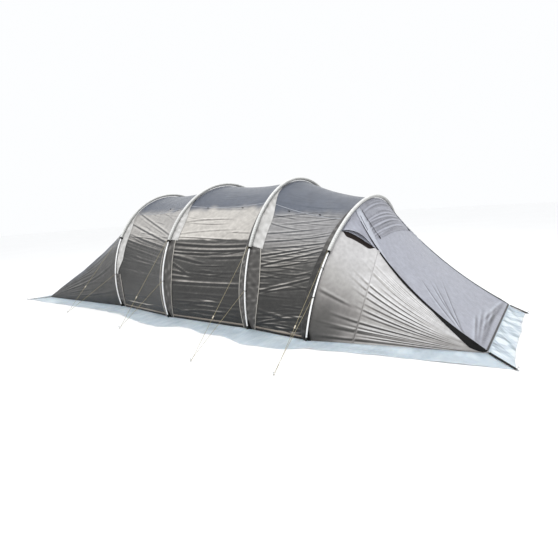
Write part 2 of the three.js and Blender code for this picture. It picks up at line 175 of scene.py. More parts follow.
def bay_surface(bay, u, share):
    a, b = FLY_ARCS[bay].across(share), FLY_ARCS[bay + 1].across(share)
    u = np.asarray(u, float)
    return sagged(a + (b - a) * u[..., None], BAY_SAG * 4 * u * (1 - u))


def rear_surface(u, share):
    across = np.clip((share - REAR_CUT) / (1 - 2 * REAR_CUT), 0.0, 1.0)
    up = np.minimum(np.minimum(share, 1 - share), REAR_CUT) / REAR_CUT
    hem = points(REAR_X, (2 * across - 1) * REAR_HALF, up * END_HEM_Z)
    a = FLY_ARCS[0].across(share)
    return sagged(a + (hem - a) * u[..., None], REAR_SAG * 4 * u * (1 - u))


FRONT_ARC = FLY_ARCS[3]
SEAM_ANGLE = FRONT_ARC.angle_at_y(SEAM_TOP_Y)
SEAM_TOP = FRONT_ARC.point(SEAM_ANGLE)
SEAM_FOOT = np.array([FRONT_X, -FRONT_HALF, END_HEM_Z])


def circle_through(a, b, c):
    ab, ac = b - a, c - a
    axis = np.cross(ab, ac)
    to_centre = np.cross(axis, ab) * (ac @ ac) + np.cross(ac, axis) * (ab @ ab)
    centre = a + to_centre / (2 * (axis @ axis))
    start, end = a - centre, c - centre
    angle = math.acos((start @ end) / (np.linalg.norm(start) * np.linalg.norm(end)))
    return centre, unit(axis), angle


SEAM_CENTRE, SEAM_AXIS, SEAM_TURN = circle_through(SEAM_TOP, np.array(SEAM_MIDDLE), SEAM_FOOT)


def seam_point(u):
    spoke = SEAM_TOP - SEAM_CENTRE
    turn = np.asarray(u, float)[..., None] * SEAM_TURN
    side = np.cross(SEAM_AXIS, spoke)
    return SEAM_CENTRE + spoke * np.cos(turn) + side * np.sin(turn)


def side_surface(u, v):
    """The near front side panel and door: u from hoop to corner, v up from hem to seam."""
    u, v = np.broadcast_arrays(np.asarray(u, float), np.asarray(v, float))
    foot = FRONT_ARC.point(FRONT_ARC.start)
    on_hoop = FRONT_ARC.point(lerp((FRONT_ARC.start, SEAM_ANGLE), v))
    bulge = on_hoop - lerp((foot, SEAM_TOP), v[..., None])
    hem = lerp((foot, np.array([FRONT_X, -FRONT_HALF, 0.0])), u[..., None])
    p = lerp((hem, seam_point(u)), v[..., None])
    return above_hem(p + bulge * (1 - smooth(u / DOOR_FOLD_U))[..., None])


def roof_surface(u, across):
    u, across = np.broadcast_arrays(np.asarray(u, float), np.asarray(across, float))
    on_hoop = FRONT_ARC.point(SEAM_ANGLE + (math.pi - 2 * SEAM_ANGLE) * across)
    rise = on_hoop - lerp((SEAM_TOP, mirrored(SEAM_TOP, 1)), across[..., None])
    seam = seam_point(u)
    p = lerp((seam, mirrored(seam, 1)), across[..., None])
    return p + rise * ((1 - u) ** 1.5)[..., None]


# ---- wrinkles ----

WAVE_TURN = 6.28
# A fold's ridge has a furrow below it: how deep it is and how many widths away.
FURROW_DEEP, FURROW_AT = 0.6, 2.1


def folds(along, across, lines):
    """Ridges across a sheet: a line is (across at along 0, across at along 1, bow, width, height,
    from, to)."""
    total = np.zeros(np.broadcast(along, across).shape)
    for start_at, end_at, bow, width, height, start, end in lines:
        centre = start_at + (end_at - start_at) * along + bow * 4 * along * (1 - along)
        t = (across - centre) / width
        ridge = np.exp(-t * t / 2) - FURROW_DEEP * np.exp(-((t + FURROW_AT) ** 2) / 2)
        total += height * ridge * window(along, start, end, 0.35 * (end - start))
    return total


def random_lines(seed, count, place, slope, bow, width, height, start, end):
    rng = random.Random(seed)
    pick = lambda span: rng.uniform(*span)
    lines = []
    for _ in range(count):
        middle, lean = pick(place), pick(slope)
        ends = (middle - lean / 2, middle + lean / 2)
        lines.append((*ends, pick(bow), pick(width), pick(height), pick(start), pick(end)))
    return lines


def crumple(a, b, seed, size, waves=7):
    """Waves in random directions, about size apart, between -1 and 1."""
    rng = random.Random(seed)
    total = 0.0
    for _ in range(waves):
        heading, phase = rng.uniform(0, math.pi), rng.uniform(0, 2 * math.pi)
        reach = size * rng.uniform(0.6, 1.8)
        total = total + np.sin((a * math.cos(heading) + b * math.sin(heading)) / reach * WAVE_TURN + phase)
    return total / waves


def normals(p, outward=None):
    """A sheet's normals, on the side that faces out of the tent or towards outward."""
    n = unit(np.cross(np.gradient(p, axis=0), np.gradient(p, axis=1)))
    spoke = (p - 0.2 * Z_AXIS) * np.array([0.15, 1.0, 1.0]) if outward is None else np.array(outward)
    return n if float(np.sum(n * spoke)) > 0 else -n


# ---- making pieces: each takes body, the body it rides on, and slot, which is not used ----

def link(obj, mat, body=ROOT, slot=None):
    bpy.context.scene.collection.objects.link(obj)
    obj.data.materials.append(mat)
    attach(obj, body)
    return obj


def smooth_mesh(name, verts, faces):
    mesh = bpy.data.meshes.new(name)
    mesh.from_pydata(verts.reshape(-1, 3).tolist(), [], faces)
    mesh.polygons.foreach_set("use_smooth", [True] * len(mesh.polygons))
    return mesh


def measure(steps):
    return np.concatenate([[0], np.cumsum(steps)])


def sheet_mesh(name, p, mat, thick=0.0015, tone=None, slate=None, **where):
    """A cloth sheet on a grid of points, its outer face on the points. Its tone, 0 dark to 1, picks its colour and
    mostly holds painted reflection, highlight and shade; slate is how much of it shows the roof's colour."""
    rows, cols = p.shape[:2]
    n = normals(p)
    # Where no tone is given it is how far the sheet faces up: a painted sky reflection.
    tone = n[..., 2] if tone is None else tone + np.zeros((rows, cols))
    turn = np.cross(np.gradient(p, axis=0), np.gradient(p, axis=1))
    index = np.arange(rows * cols).reshape(rows, cols)
    a, b = index[:-1, :-1].ravel(), index[1:, :-1].ravel()
    c, d = index[1:, 1:].ravel(), index[:-1, 1:].ravel()
    quads = np.stack([a, d, c, b] if float(np.sum(turn * n)) < 0 else [a, b, c, d], axis=1)
    mesh = smooth_mesh(name, p, quads.tolist())
    steps = [np.linalg.norm(np.diff(p, axis=k), axis=-1).mean(axis=1 - k) for k in (0, 1)]
    uv = np.stack(grid(measure(steps[0]), measure(steps[1])), axis=-1)
    for label, values in (("tone", tone), ("slate", slate)):
        if values is not None:
            marks = mesh.attributes.new(label, "FLOAT", "POINT")
            marks.data.foreach_set("value", np.clip(values, 0.0, 1.0).astype(np.float32).ravel())
    layer = mesh.uv_layers.new(name="cloth")
    layer.data.foreach_set("uv", uv.reshape(-1, 2)[quads.ravel()].ravel())
    obj = link(bpy.data.objects.new(name, mesh), mat, **where)
    solid = obj.modifiers.new("cloth_thickness", "SOLIDIFY")
    solid.thickness, solid.offset = thick, -1.0
    return obj


def rings_mesh(name, rings, mat, **where):
    """A closed tube through rings of points."""
    rings = np.asarray(rings)
    count, sides = rings.shape[:2]
    index = np.arange(count * sides).reshape(count, sides)
    nxt = np.roll(index, -1, axis=1)
    faces = np.stack([index[:-1], nxt[:-1], nxt[1:], index[1:]], axis=-1).reshape(-1, 4).tolist()
    faces += [index[0][::-1].tolist(), index[-1].tolist()]
    return link(bpy.data.objects.new(name, smooth_mesh(name, rings, faces)), mat, **where)


def tube(name, path, radius, mat, sides=14, up=X_AXIS, flatten=1.0, **where):
    """A round tube along a path: radius is a number or one for each point and side."""
    path = np.asarray(path, float)
    along = unit(np.gradient(path, axis=0))
    side = unit(np.cross(np.asarray(up, float), along))
    top = np.cross(along, side)
    angle = linspace(0, 2 * math.pi, sides, endpoint=False)
    radius = np.broadcast_to(np.asarray(radius, float), (len(path), sides))
    rings = path[:, None] + side[:, None] * (np.cos(angle) * radius)[..., None]
    rings = rings + top[:, None] * (np.sin(angle) * radius * flatten)[..., None]
    return rings_mesh(name, rings, mat, **where)


def ribbon(name, path, width, mat, lift=Z_AXIS, thick=0.0018, crown=0.0, **where):
    """A flat strap along a path, its face square to lift."""
    path = np.asarray(path, float)
    along = np.gradient(path, axis=0)
    side = unit(np.cross(along, np.broadcast_to(np.asarray(lift, float), path.shape)))
    face = unit(np.cross(side, along))
    place = linspace(-0.5, 0.5, 5)
    wide = np.broadcast_to(np.asarray(width, float), (len(path),))[:, None, None]
    p = path[:, None] + side[:, None] * (place[None, :, None] * wide)
    p = p + face[:, None] * (crown * (1 - 4 * place ** 2))[None, :, None]
    return sheet_mesh(name, p, mat, thick, **where)


def lathe_along(name, start, end, profile, mat, sides=20, **where):
    """A turned piece between two points; profile gives (share of the length, radius)."""
    start, end = np.asarray(start), np.asarray(end)
    axis = unit(end - start)
    side = unit(np.cross(axis, Z_AXIS))
    top = np.cross(axis, side)
    angle = linspace(0, 2 * math.pi, sides, endpoint=False)
    ring = np.cos(angle)[:, None] * side + np.sin(angle)[:, None] * top
    return rings_mesh(name, [start + (end - start) * t + r * ring for t, r in profile], mat, **where)


# ---- materials ----

def rgb(text):
    """A colour from its six hex digits, as the shader's linear numbers."""
    value = [int(text[i:i + 2], 16) / 255 for i in (0, 2, 4)]
    return [c / 12.92 if c <= 0.04045 else ((c + 0.055) / 1.055) ** 2.4 for c in value] + [1.0]


def grey(value):
    return (value, value, value, 1)


def scaled(color, by):
    return [min(1.0, by * c) for c in rgb(color)[:3]] + [1]


class Nodes:
    """A short way to wire a material."""

    def __init__(self, name, rough, metallic=0.0, sheen=0.0, coat=0.0, specular=0.5):
        self.mat = bpy.data.materials.new(name)
        self.mat.use_nodes = True
        self.tree = self.mat.node_tree
        self.bsdf = self.tree.nodes["Principled BSDF"]
        for socket, value in (("Roughness", rough), ("Metallic", metallic), ("Sheen Weight", sheen),
                              ("Coat Weight", coat), ("Specular IOR Level", specular)):
            self.set(socket, value)

    def fill(self, socket, value):
        """Put a number, a colour or another node's output into a socket."""
        if hasattr(value, "links"):
            self.tree.links.new(value, socket)
        else:
            socket.default_value = value

    def set(self, socket, value):
        self.fill(self.bsdf.inputs[socket], value)

    def add(self, kind, inputs=None, **values):
        node = self.tree.nodes.new(kind)
        for key, value in values.items():
            setattr(node, key, value)
        for key, value in (inputs or {}).items():
            self.fill(node.inputs[key], value)
        return node

    def math(self, operation, a, b):
        return self.add("ShaderNodeMath", {0: a, 1: b}, operation=operation).outputs[0]

    def mix(self, share, a, b, blend="MIX"):
        inputs = {0: share, 6: a, 7: b}
        return self.add("ShaderNodeMix", inputs, data_type="RGBA", blend_type=blend).outputs[2]

    def coords(self, output):
        return self.add("ShaderNodeTexCoord").outputs[output]

    def attribute(self, name):
        return self.add("ShaderNodeAttribute", attribute_name=name).outputs["Fac"]

    def ramp(self, value, *stops):
        node = self.add("ShaderNodeValToRGB", {0: value})
        elements = node.color_ramp.elements
        while len(elements) < len(stops):
            elements.new(0.5)
        for element, (place, color) in zip(elements, stops):
            element.position, element.color = place, rgb(color) if isinstance(color, str) else color
        return node.outputs[0]

    def noise(self, scale, detail, stretch=(1.0, 1.0, 1.0)):
        place = self.add("ShaderNodeMapping", {0: self.coords("Object"), "Scale": stretch}).outputs[0]
        inputs = {"Scale": scale, "Detail": detail, "Vector": place}
        return self.add("ShaderNodeTexNoise", inputs).outputs["Fac"]

    def bump(self, height, strength, distance):
        inputs = {"Strength": strength, "Distance": distance, "Height": height}
        self.set("Normal", self.add("ShaderNodeBump", inputs).outputs[0])

    def weave(self, pitch):
        """Threads both ways, with a heavier thread every few, from the sheet's own measure."""
        uv = self.coords("UV")
        total = None
        for axis in ("X", "Y"):
            for size, weight, power in ((pitch, 0.4, 1.0), (pitch * 8, 1.0, 12.0)):
                inputs = {"Scale": 0.3142 / size, "Vector": uv}
                wave = self.add("ShaderNodeTexWave", inputs, wave_type="BANDS", bands_direction=axis)
                part = self.math("MULTIPLY", self.math("POWER", wave.outputs["Fac"], power), weight)
                total = part if total is None else self.math("ADD", total, part)
        return total


def coated_cloth(name, rough, *stops, pitch=0.0012, sheen=0.1, coat=0.0, by_tone=True, slate=()):
    """Coated cloth whose colour follows its tone, which holds painted reflection and shade, or else how far it
    faces up, a painted sky reflection.
    """
    m = Nodes(name, rough, sheen=sheen, coat=coat, specular=0.4)
    if by_tone:
        tone = m.attribute("tone")
    else:
        # Lighter where it faces up: a painted sky reflection.
        tone = m.add("ShaderNodeSeparateXYZ", {0: m.coords("Normal")}).outputs[2]
    ragged = m.math("MULTIPLY", m.math("SUBTRACT", m.noise(7.0, 5.0), 0.5), 0.09)
    shown = m.math("ADD", tone, ragged)
    color = m.ramp(shown, *stops)
    if slate:
        color = m.mix(m.attribute("slate"), color, m.ramp(shown, *slate))
    mottle = m.ramp(m.noise(22.0, 5.0), (0.3, grey(0.88)), (0.7, grey(1.08)))
    m.set("Base Color", m.mix(1.0, color, mottle, "MULTIPLY"))
    m.set("Roughness", m.ramp(m.noise(5.0, 4.0), (0.3, grey(rough - 0.07)), (0.7, grey(rough + 0.08))))
    m.bump(m.math("ADD", m.weave(pitch), m.math("MULTIPLY", m.noise(34.0, 6.0), 4.0)), 0.4, 0.0016)
    return m.mat


def webbing(name, color, pitch=0.0016, sheen=0.3, specular=0.5):
    m = Nodes(name, 0.75, sheen=sheen, specular=specular)
    m.set("Base Color", m.ramp(m.weave(pitch), (0.2, color), (1.0, scaled(color, 1.7))))
    m.bump(m.weave(pitch), 0.6, 0.0008)
    return m.mat


def metal(name, color, rough, metallic=0.75):
    m = Nodes(name, rough, metallic=metallic)
    scratch = m.noise(40.0, 5.0, stretch=(1.0, 1.0, 0.1))
    m.set("Base Color", m.ramp(scratch, (0.25, scaled(color, 0.85)), (0.75, color)))
    m.set("Roughness", m.ramp(scratch, (0.2, grey(rough)), (0.9, grey(rough + 0.15))))
    m.bump(scratch, 0.1, 0.0004)
    return m.mat


def plastic(name, color, rough=0.4):
    m = Nodes(name, rough)
    grain = m.noise(400.0, 3.0)
    m.set("Base Color", m.ramp(grain, (0.2, scaled(color, 0.9)), (0.8, color)))
    m.bump(grain, 0.2, 0.0003)
    return m.mat


def skirt_film():
    m = Nodes("skirt_film", 0.38, specular=0.4)
    cloud = m.math("MULTIPLY", m.math("SUBTRACT", m.noise(3.0, 5.0), 0.5), 0.5)
    m.set("Base Color", m.ramp(m.math("ADD", m.attribute("tone"), cloud), (0.1, "8d939b"),
                               (0.45, "c3cad2"), (0.65, "dde2e7"), (0.85, "f2f4f5")))
    m.set("Subsurface Weight", 0.15)
    m.bump(m.math("ADD", m.weave(0.0015), m.noise(30.0, 5.0)), 0.5, 0.002)
    return m.mat


# Each cloth's colours, from the darkest tone to the lightest; as the tone mostly holds painted light, they run
# from painted shade to painted reflection and highlight.
FLY = coated_cloth("fly_cloth", 0.40, (0.0, "131211"), (0.15, "232220"), (0.30, "3c3b39"),
                   (0.45, "6f6c68"), (0.60, "a5a19c"), (0.75, "c3bfb9"), (1.0, "e6e3df"), coat=0.15,
                   slate=[(0.0, "2b3039"), (0.35, "404650"), (0.60, "525967"), (0.80, "858992"),
                          (1.0, "c9cbd0")])
BAND = coated_cloth("band_cloth", 0.5, (0.0, "222120"), (0.5, "4b4947"), (1.0, "8f8d8a"))
BAND_LIGHT = coated_cloth("light_band_cloth", 0.5, (0.0, "82817f"), (0.5, "b3b2b0"), (1.0, "d6d5d4"))
DOOR = coated_cloth("door_cloth", 0.42, (0.0, "3b3a38"), (0.2, "5f5d5b"), (0.4, "878482"),
                    (0.6, "aaa8a6"), (0.85, "cbcacb"), (1.0, "dddddd"))
FRONT = coated_cloth("front_cloth", 0.45, (0.0, "4d4e55"), (0.3, "82838c"), (0.5, "9fa1ac"),
                     (0.65, "afb3be"), (1.0, "c9ccd4"))
# Sleeves, piping and tapes are lighter where they face up: a painted sky reflection.
SLEEVE = coated_cloth("sleeve_cloth", 0.42, (0.0, "a9a9a6"), (0.5, "cfd0ce"), (1.0, "ebebea"),
                      sheen=0.3, by_tone=False)
PIPING = coated_cloth("piping_cloth", 0.5, (0.0, "a6a29b"), (1.0, "d2cfc9"), by_tone=False)
ROOF_TAPE = coated_cloth("roof_tape_cloth", 0.5, (0.0, "8f929a"), (1.0, "a9adb5"), by_tone=False)
HEM_TAPE = coated_cloth("hem_tape_cloth", 0.5, (0.0, "857c72"), (1.0, "a79f95"), by_tone=False)
GROUNDSHEET = coated_cloth("groundsheet_cloth", 0.6, (0.0, "2c2e30"), (1.0, "3f4245"))
VENT = webbing("vent_mesh", "1e1816", 0.003, 0.05, 0.2)
BLACK_TAPE = webbing("black_webbing", "0a0a0a", sheen=0.02, specular=0.25)
CORD = webbing("guy_cord", "7f7658", 0.0012)
POLE = metal("pole_metal", "fbfbfb", 0.34, 0.1)
STEEL = metal("peg_steel", "b9bcbe", 0.32)
BLACK_METAL = metal("slider_metal", "1c1c1d", 0.35)
RUNNER = plastic("runner_plastic", "cfc6b4")
BLACK_PLASTIC = plastic("black_plastic", "151515", 0.35)
SKIRT = skirt_film()


# ---- camera ----

CAMERA_AT = (4.500, -5.012, 1.534)
CAMERA_AZ, CAMERA_EL, CAMERA_ROLL = 36.17, 10.43, -3.62
CAMERA_LENS, CAMERA_SENSOR, CAMERA_SEES = 24.85, 36.0, 200.0


def make_camera():
    az, el, roll = (math.radians(a) for a in (CAMERA_AZ, CAMERA_EL, CAMERA_ROLL))
    ahead = Vector((-math.sin(az) * math.cos(el), math.cos(az) * math.cos(el), -math.sin(el)))
    level = Vector((math.cos(az), math.sin(az), 0))
    above = level.cross(ahead)
    right = level * math.cos(roll) + above * math.sin(roll)
    up = above * math.cos(roll) - level * math.sin(roll)
    data = bpy.data.cameras.new("camera")
    data.lens, data.sensor_width, data.clip_end = CAMERA_LENS, CAMERA_SENSOR, CAMERA_SEES
    camera = bpy.data.objects.new("camera", data)
    bpy.context.scene.collection.objects.link(camera)
    turn = Matrix((right, up, -ahead)).transposed().to_4x4()
    camera.matrix_world = Matrix.Translation(CAMERA_AT) @ turn
    bpy.context.scene.camera = camera


make_camera()


# ---- guylines with their pegs and runners ----

PEG_HIGH, PEG_HOOK = 0.042, 0.016
RUNNER_PLACE, RUNNER_LONG = 0.34, 0.034
RUNNER_PROFILE = [(0, 0.0048), (0.04, 0.0068), (0.15, 0.0078), (0.3, 0.0060), (0.5, 0.0054),
                  (0.7, 0.0060), (0.85, 0.0078), (0.96, 0.0068), (1, 0.0048)]


def level_unit(v):
    return unit(v * np.array([1, 1, 0]))


def guy_route(index, side):
    """From the high anchor to the peg, round it, and back up to the low anchor."""
    guy = GUYS[index]

    def anchor(z, held):
        arc = Arc(HOOPS[index], -held - CORD_R - ANCHOR_GAP)
        return mirrored(arc.point(arc.angle_at_z(z)), side)

    high, low = anchor(guy["high"], SLEEVE_R), anchor(guy["low"], POLE_R)
    peg = np.array([guy["peg"][0], side * guy["peg"][1], CORD_ON_PEG_Z])
    away = level_unit(peg - high)
    beside = np.array([-away[1], away[0], 0]) * -side
    reach = PEG_R + CORD_R + PEG_BEND_GAP
    turns = linspace(0, math.pi, 9)[:, None]
    bend = peg + beside * reach * np.cos(turns) + away * reach * np.sin(turns)
    down = [high + (bend[0] - high) * t for t in (0, 0.2, 0.4, 0.6, 0.8, 0.97)]
    up = [bend[-1] + (low - bend[-1]) * t for t in (0.03, 0.25, 0.5, 0.75, 1)]
    return [Vector(p) for p in (*down, *bend, *up)], len(down), peg, away


def cord_curve(name, route, radius, mat):
    curve = bpy.data.curves.new(name, "CURVE")
    curve.dimensions = "3D"
    spline = curve.splines.new("POLY")
    spline.points.add(len(route) - 1)
    for point, place in zip(spline.points, route):
        point.co = (*place, 1.0)
    curve.bevel_depth = radius
    curve.bevel_resolution = 3
    curve.use_fill_caps = True
    return link(bpy.data.objects.new(name, curve), mat)


def hooked_peg(name, place, away):
    foot = np.array([place[0], place[1], 0.001])
    bend_z = PEG_HIGH - PEG_HOOK / 2
    path = [foot, foot + Z_AXIS * 0.4 * bend_z, foot + Z_AXIS * bend_z]
    for angle in linspace(0, math.pi, 11)[1:]:
        out = PEG_HOOK / 2 * (1 - math.cos(angle))
        path.append(foot + Z_AXIS * (bend_z - 0.001 + PEG_HOOK / 2 * math.sin(angle)) + away * out)
    return tube(name, path, PEG_R, STEEL, sides=12, up=np.cross(Z_AXIS, away))


def guyline(index, label, side):
    number = f"{label}_{index + 1}"
    route, bend_at, peg, away = guy_route(index, side)
    line = cord_curve(f"guyline_cord_{number}", route, CORD_R, CORD)
    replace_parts(line, f"guyline_{number}")
    head = hooked_peg(f"peg_wire_{number}", peg, away)
    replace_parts(head, f"guy_peg_{number}")
    high, low = np.array(route[0]), np.array(route[bend_at])
    half = unit(high - low) * RUNNER_LONG / 2
    middle = low + (high - low) * RUNNER_PLACE
    runner = lathe_along(f"line_runner_{number}", middle - half, middle + half, RUNNER_PROFILE, RUNNER,
                         body=f"runner_{number}")
    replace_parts(runner, f"runner_{number}")


for index in range(len(HOOPS)):
    for label, side in SIDES:
        guyline(index, label, side)


# ---- poles, sleeves, foot cups and clips ----

SLEEVE_BELOW_GUY = 0.025
CUP_Z, CUP_LONG = 0.008, 0.055
CUP_PROFILE = [(0, 0.010), (0.05, 0.0150), (0.5, 0.0158), (0.8, 0.0155), (0.9, 0.0130), (1, 0.0112)]
CLIP_HEIGHTS = [[guy["low"]] for guy in GUYS]
CLIP_HEIGHTS[3].append(0.84)
CLIP_GAP, CLIP_R, CLIP_DEEP = 0.0035, 0.0034, 0.020
TIE_R, TIE_WIDE = 0.0235, 0.026


def leg_frame(arc, z, side):
    """A point on a leg with its direction along the pole and its direction out of the tent."""
    angle = arc.angle_at_z(z)
    here, ahead = arc.point(angle), arc.point(angle + 0.01)
    along = unit(ahead - here)
    out = unit(np.cross(along, X_AXIS))
    return [mirrored(v, side) for v in (here, along, -out if out[1] > 0 else out)]


def over_hoop(arc, start, count):
    return arc.point(linspace(start, math.pi - start, count))


def pole_piece(index):
    arc = POLE_ARCS[index]
    path = over_hoop(arc, arc.angle_at_z(CUP_Z + POLE_R), 260)
    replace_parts(tube(f"pole_tube_{index + 1}", path, POLE_R, POLE), f"pole_{index + 1}")


def sleeve_piece(index):
    arc = POLE_ARCS[index]
    path = over_hoop(arc, arc.angle_at_z(GUYS[index]["high"] - SLEEVE_BELOW_GUY), 420)
    sides, long = 20, 4.2
    run = linspace(0, long, len(path))[:, None]
    round_ = linspace(0, 2 * math.pi, sides, endpoint=False)[None, :]
    ruffle = 0.0012 * crumple(run, round_ * 0.03, 40 + index, 0.05)
    waves = run / 0.045 * WAVE_TURN + 2 * np.sin(round_ + index) + 3 * np.sin(run * 2.1)
    taper = 1 - 0.25 * np.exp(-np.minimum(run, long - run) / 0.02)
    radius = (SLEEVE_R - 0.003 + ruffle + 0.0009 * np.sin(waves)) * taper
    piece = tube(f"sleeve_cloth_{index + 1}", path, radius, SLEEVE, sides=sides, flatten=0.96)
    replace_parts(piece, f"pole_sleeve_{index + 1}")


def foot_pieces(index, number, side):
    low, along, out = leg_frame(POLE_ARCS[index], CUP_Z + 0.002, side)
    lathe_along(f"foot_cup_{number}", low, low + along * CUP_LONG, CUP_PROFILE, BLACK_PLASTIC, slot="webbing")
    inner = low - out * 0.016
    path = [inner + along * t - out * 0.003 * math.sin(t * 20) for t in linspace(0.004, 0.12, 8)]
    ribbon(f"foot_tab_{number}", path, linspace(0.11, 0.03, 8), BLACK_TAPE, lift=out, slot="webbing")


def clip_pieces(index, number, side):
    """Hooks that hold the fly to the bare part of each leg."""
    for order, z in enumerate(CLIP_HEIGHTS[index], 1):
        here, along, out = leg_frame(POLE_ARCS[index], z, side)
        hook = [here + (POLE_R + CLIP_GAP) * (math.sin(angle) * out + math.cos(angle) * X_AXIS)
                for angle in linspace(-0.25 * math.pi, 1.15 * math.pi, 12)]
        hook.append(here - out * CLIP_DEEP)
        tube(f"pole_clip_{number}_{order}", hook, CLIP_R, BLACK_PLASTIC, sides=8, up=along, slot="webbing")
        tape = [here - out * (CLIP_DEEP - 0.001 * k) + along * 0.006 * (k - 2) for k in range(5)]
        ribbon(f"clip_tab_{number}_{order}", tape, 0.022, BLACK_TAPE, lift=out, slot="webbing")


def tie_piece(index, number, side):
    """The black tie at each sleeve's end, where the high guyline starts."""
    here, _, out = leg_frame(POLE_ARCS[index], GUYS[index]["high"] - SLEEVE_BELOW_GUY, side)
    ring = np.array([here + TIE_R * (math.sin(angle) * out + math.cos(angle) * X_AXIS)
                     for angle in linspace(0, 2 * math.pi, 17)])
    ribbon(f"sleeve_tie_{number}", ring, TIE_WIDE, BLACK_TAPE, lift=ring - here, thick=0.002, slot="webbing")


for index in range(len(HOOPS)):
    pole_piece(index)
    sleeve_piece(index)
    for label, side in SIDES:
        for leg_piece in (foot_pieces, clip_pieces, tie_piece):
            leg_piece(index, f"{label}_{index + 1}", side)


# ---- the fly over the bays ----

BAY_LONG = [b["x"] - a["x"] for a, b in zip(HOOPS, HOOPS[1:])]
ARCH_LONG = 4.95
BAY_ROWS = 43
# The folds that cross each bay: height at its rear hoop and front hoop, how far they reach (as
# shares of the bay), and how strong they are.
BAY_FOLDS = [
    [(1.62, 1.22, -0.2, 1.2, 1.0), (1.45, 1.12, -0.2, 1.2, 1.2), (1.30, 1.05, 0.0, 1.2, 1.0),
     (1.20, 0.98, -0.2, 1.1, 1.2), (1.10, 0.88, -0.2, 1.2, 0.9), (0.98, 0.80, 0.1, 1.2, 1.0),
     (0.88, 0.78, -0.2, 0.9, 0.8), (0.70, 0.62, -0.2, 1.2, 0.9), (0.45, 0.50, 0.0, 1.2, 0.6),
     (0.25, 0.30, -0.2, 0.9, 0.6)],
    [(1.134, 1.100, -0.2, 1.2, 1.1), (1.057, 1.045, -0.2, 1.2, 1.0), (1.013, 1.017, -0.2, 0.8, 0.9),
     (0.980, 0.760, -0.2, 0.55, 1.1), (0.960, 0.960, 0.4, 1.2, 0.9), (0.914, 0.200, -0.1, 0.35, 0.9),
     (0.760, 0.600, -0.1, 0.40, 0.8), (0.672, 0.640, -0.2, 0.45, 0.9), (0.584, 0.600, -0.2, 1.2, 1.5),
     (0.420, 0.430, -0.1, 1.1, 0.6), (0.260, 0.250, 0.0, 1.2, 0.5), (0.120, 0.110, -0.2, 1.0, 0.6)],
    [(1.420, 1.480, -0.2, 0.8, 0.6), (1.330, 1.380, 0.1, 1.2, 0.6), (1.230, 1.290, -0.2, 0.9, 0.7),
     (1.130, 1.200, -0.1, 1.2, 0.8), (1.050, 1.120, 0.1, 1.2, 0.8), (0.950, 1.100, -0.2, 0.9, 1.1),
     (0.900, 1.080, 0.1, 1.2, 0.8), (0.810, 1.040, -0.2, 1.2, 1.1), (0.485, 0.755, -0.2, 1.2, 1.0),
     (0.080, 0.300, -0.1, 1.2, 0.8), (0.700, 0.740, -0.2, 0.35, 0.9), (0.620, 0.660, -0.2, 0.4, 0.9),
     (0.550, 0.580, -0.2, 0.35, 0.8)],
]
FOLD_WIDTH, FOLD_HIGH = [0.0115, 0.0125, 0.0090], [0.0050, 0.0052, 0.0042]
MINOR_COUNT = [44, 40, 70]
MINOR_SLOPE = [(-0.55, -0.15), (-0.10, 0.08), (0.02, 0.35)]
MINOR = dict(place=(0.12, 2.05), bow=(-0.10, 0.10), width=(0.006, 0.010), height=(0.0008, 0.0024),
             start=(-0.2, 0.7), end=(0.4, 1.2))
HEM_PUCKERS = dict(count=9, place=(0.03, 0.30), slope=(-0.10, 0.10), bow=(-0.1, 0.1),
                   width=(0.008, 0.014), height=(0.002, 0.0045), start=(-0.3, 0.5), end=(0.6, 1.3))
# How high each bay is dark with painted shade, above which its pale shoulder is a painted reflection, and from
# where it is roof, at its rear and front hoop.
DARK_TO = [(1.18, 1.10), (1.17, 1.15), (1.08, 1.00)]
ROOF_FROM = [(1.60, 1.60), (1.60, 1.56), (1.50, 1.40)]
BLEND_OVER, ROOF_BLEND_OVER, HELD_OVER = [0.30, 0.035, 0.45], 0.12, 0.16
SHOULDER_TONE = [0.60, 0.67, 0.58]
SHOULDER_SLATE = [0.15, 0.0, 0.45]
ROOF_TONE, DARK_TONE, DARK_RISE = 0.52, [-0.10, 0.02, 0.06], 0.24
# FOLD_SHADE paints highlight and shade on the folds from how far they turn up; MOTTLE is random.
FOLD_SHADE, MOTTLE = 1.30, 0.05
# Small toggles along each bay's roof seam: (share of the bay, share of the arch).
TOGGLES = [[(0.60, 0.340)], [(0.25, 0.323), (0.70, 0.318)], [(0.28, 0.318), (0.65, 0.330)]]
TOGGLE_LONG, TOGGLE_UP = 0.032, 0.010
ROOF_SEAM, ROOF_SEAM_WIDE, HEM_TAPE_SHARES, TAPE_UP = 0.3255, 0.0016, (0.0085, 0.0125), 0.0022
CAPSULE = [(0, 0.002), (0.06, 0.0045), (0.2, 0.0058), (0.5, 0.0062), (0.8, 0.0058), (0.94, 0.0045), (1, 0.002)]


def bay_lines(bay, seed):
    rear, front = FLY_ARCS[bay], FLY_ARCS[bay + 1]
    lines = []
    for rear_z, front_z, start, end, strong in BAY_FOLDS[bay]:
        ends = (rear.share_at_z(rear_z) * ARCH_LONG, front.share_at_z(front_z) * ARCH_LONG)
        lines.append((*ends, 0.0, FOLD_WIDTH[bay], FOLD_HIGH[bay] * strong, start, end))
    minor = random_lines(seed, MINOR_COUNT[bay], slope=MINOR_SLOPE[bay], **MINOR)
    return lines + minor + random_lines(seed + 1, **HEM_PUCKERS)


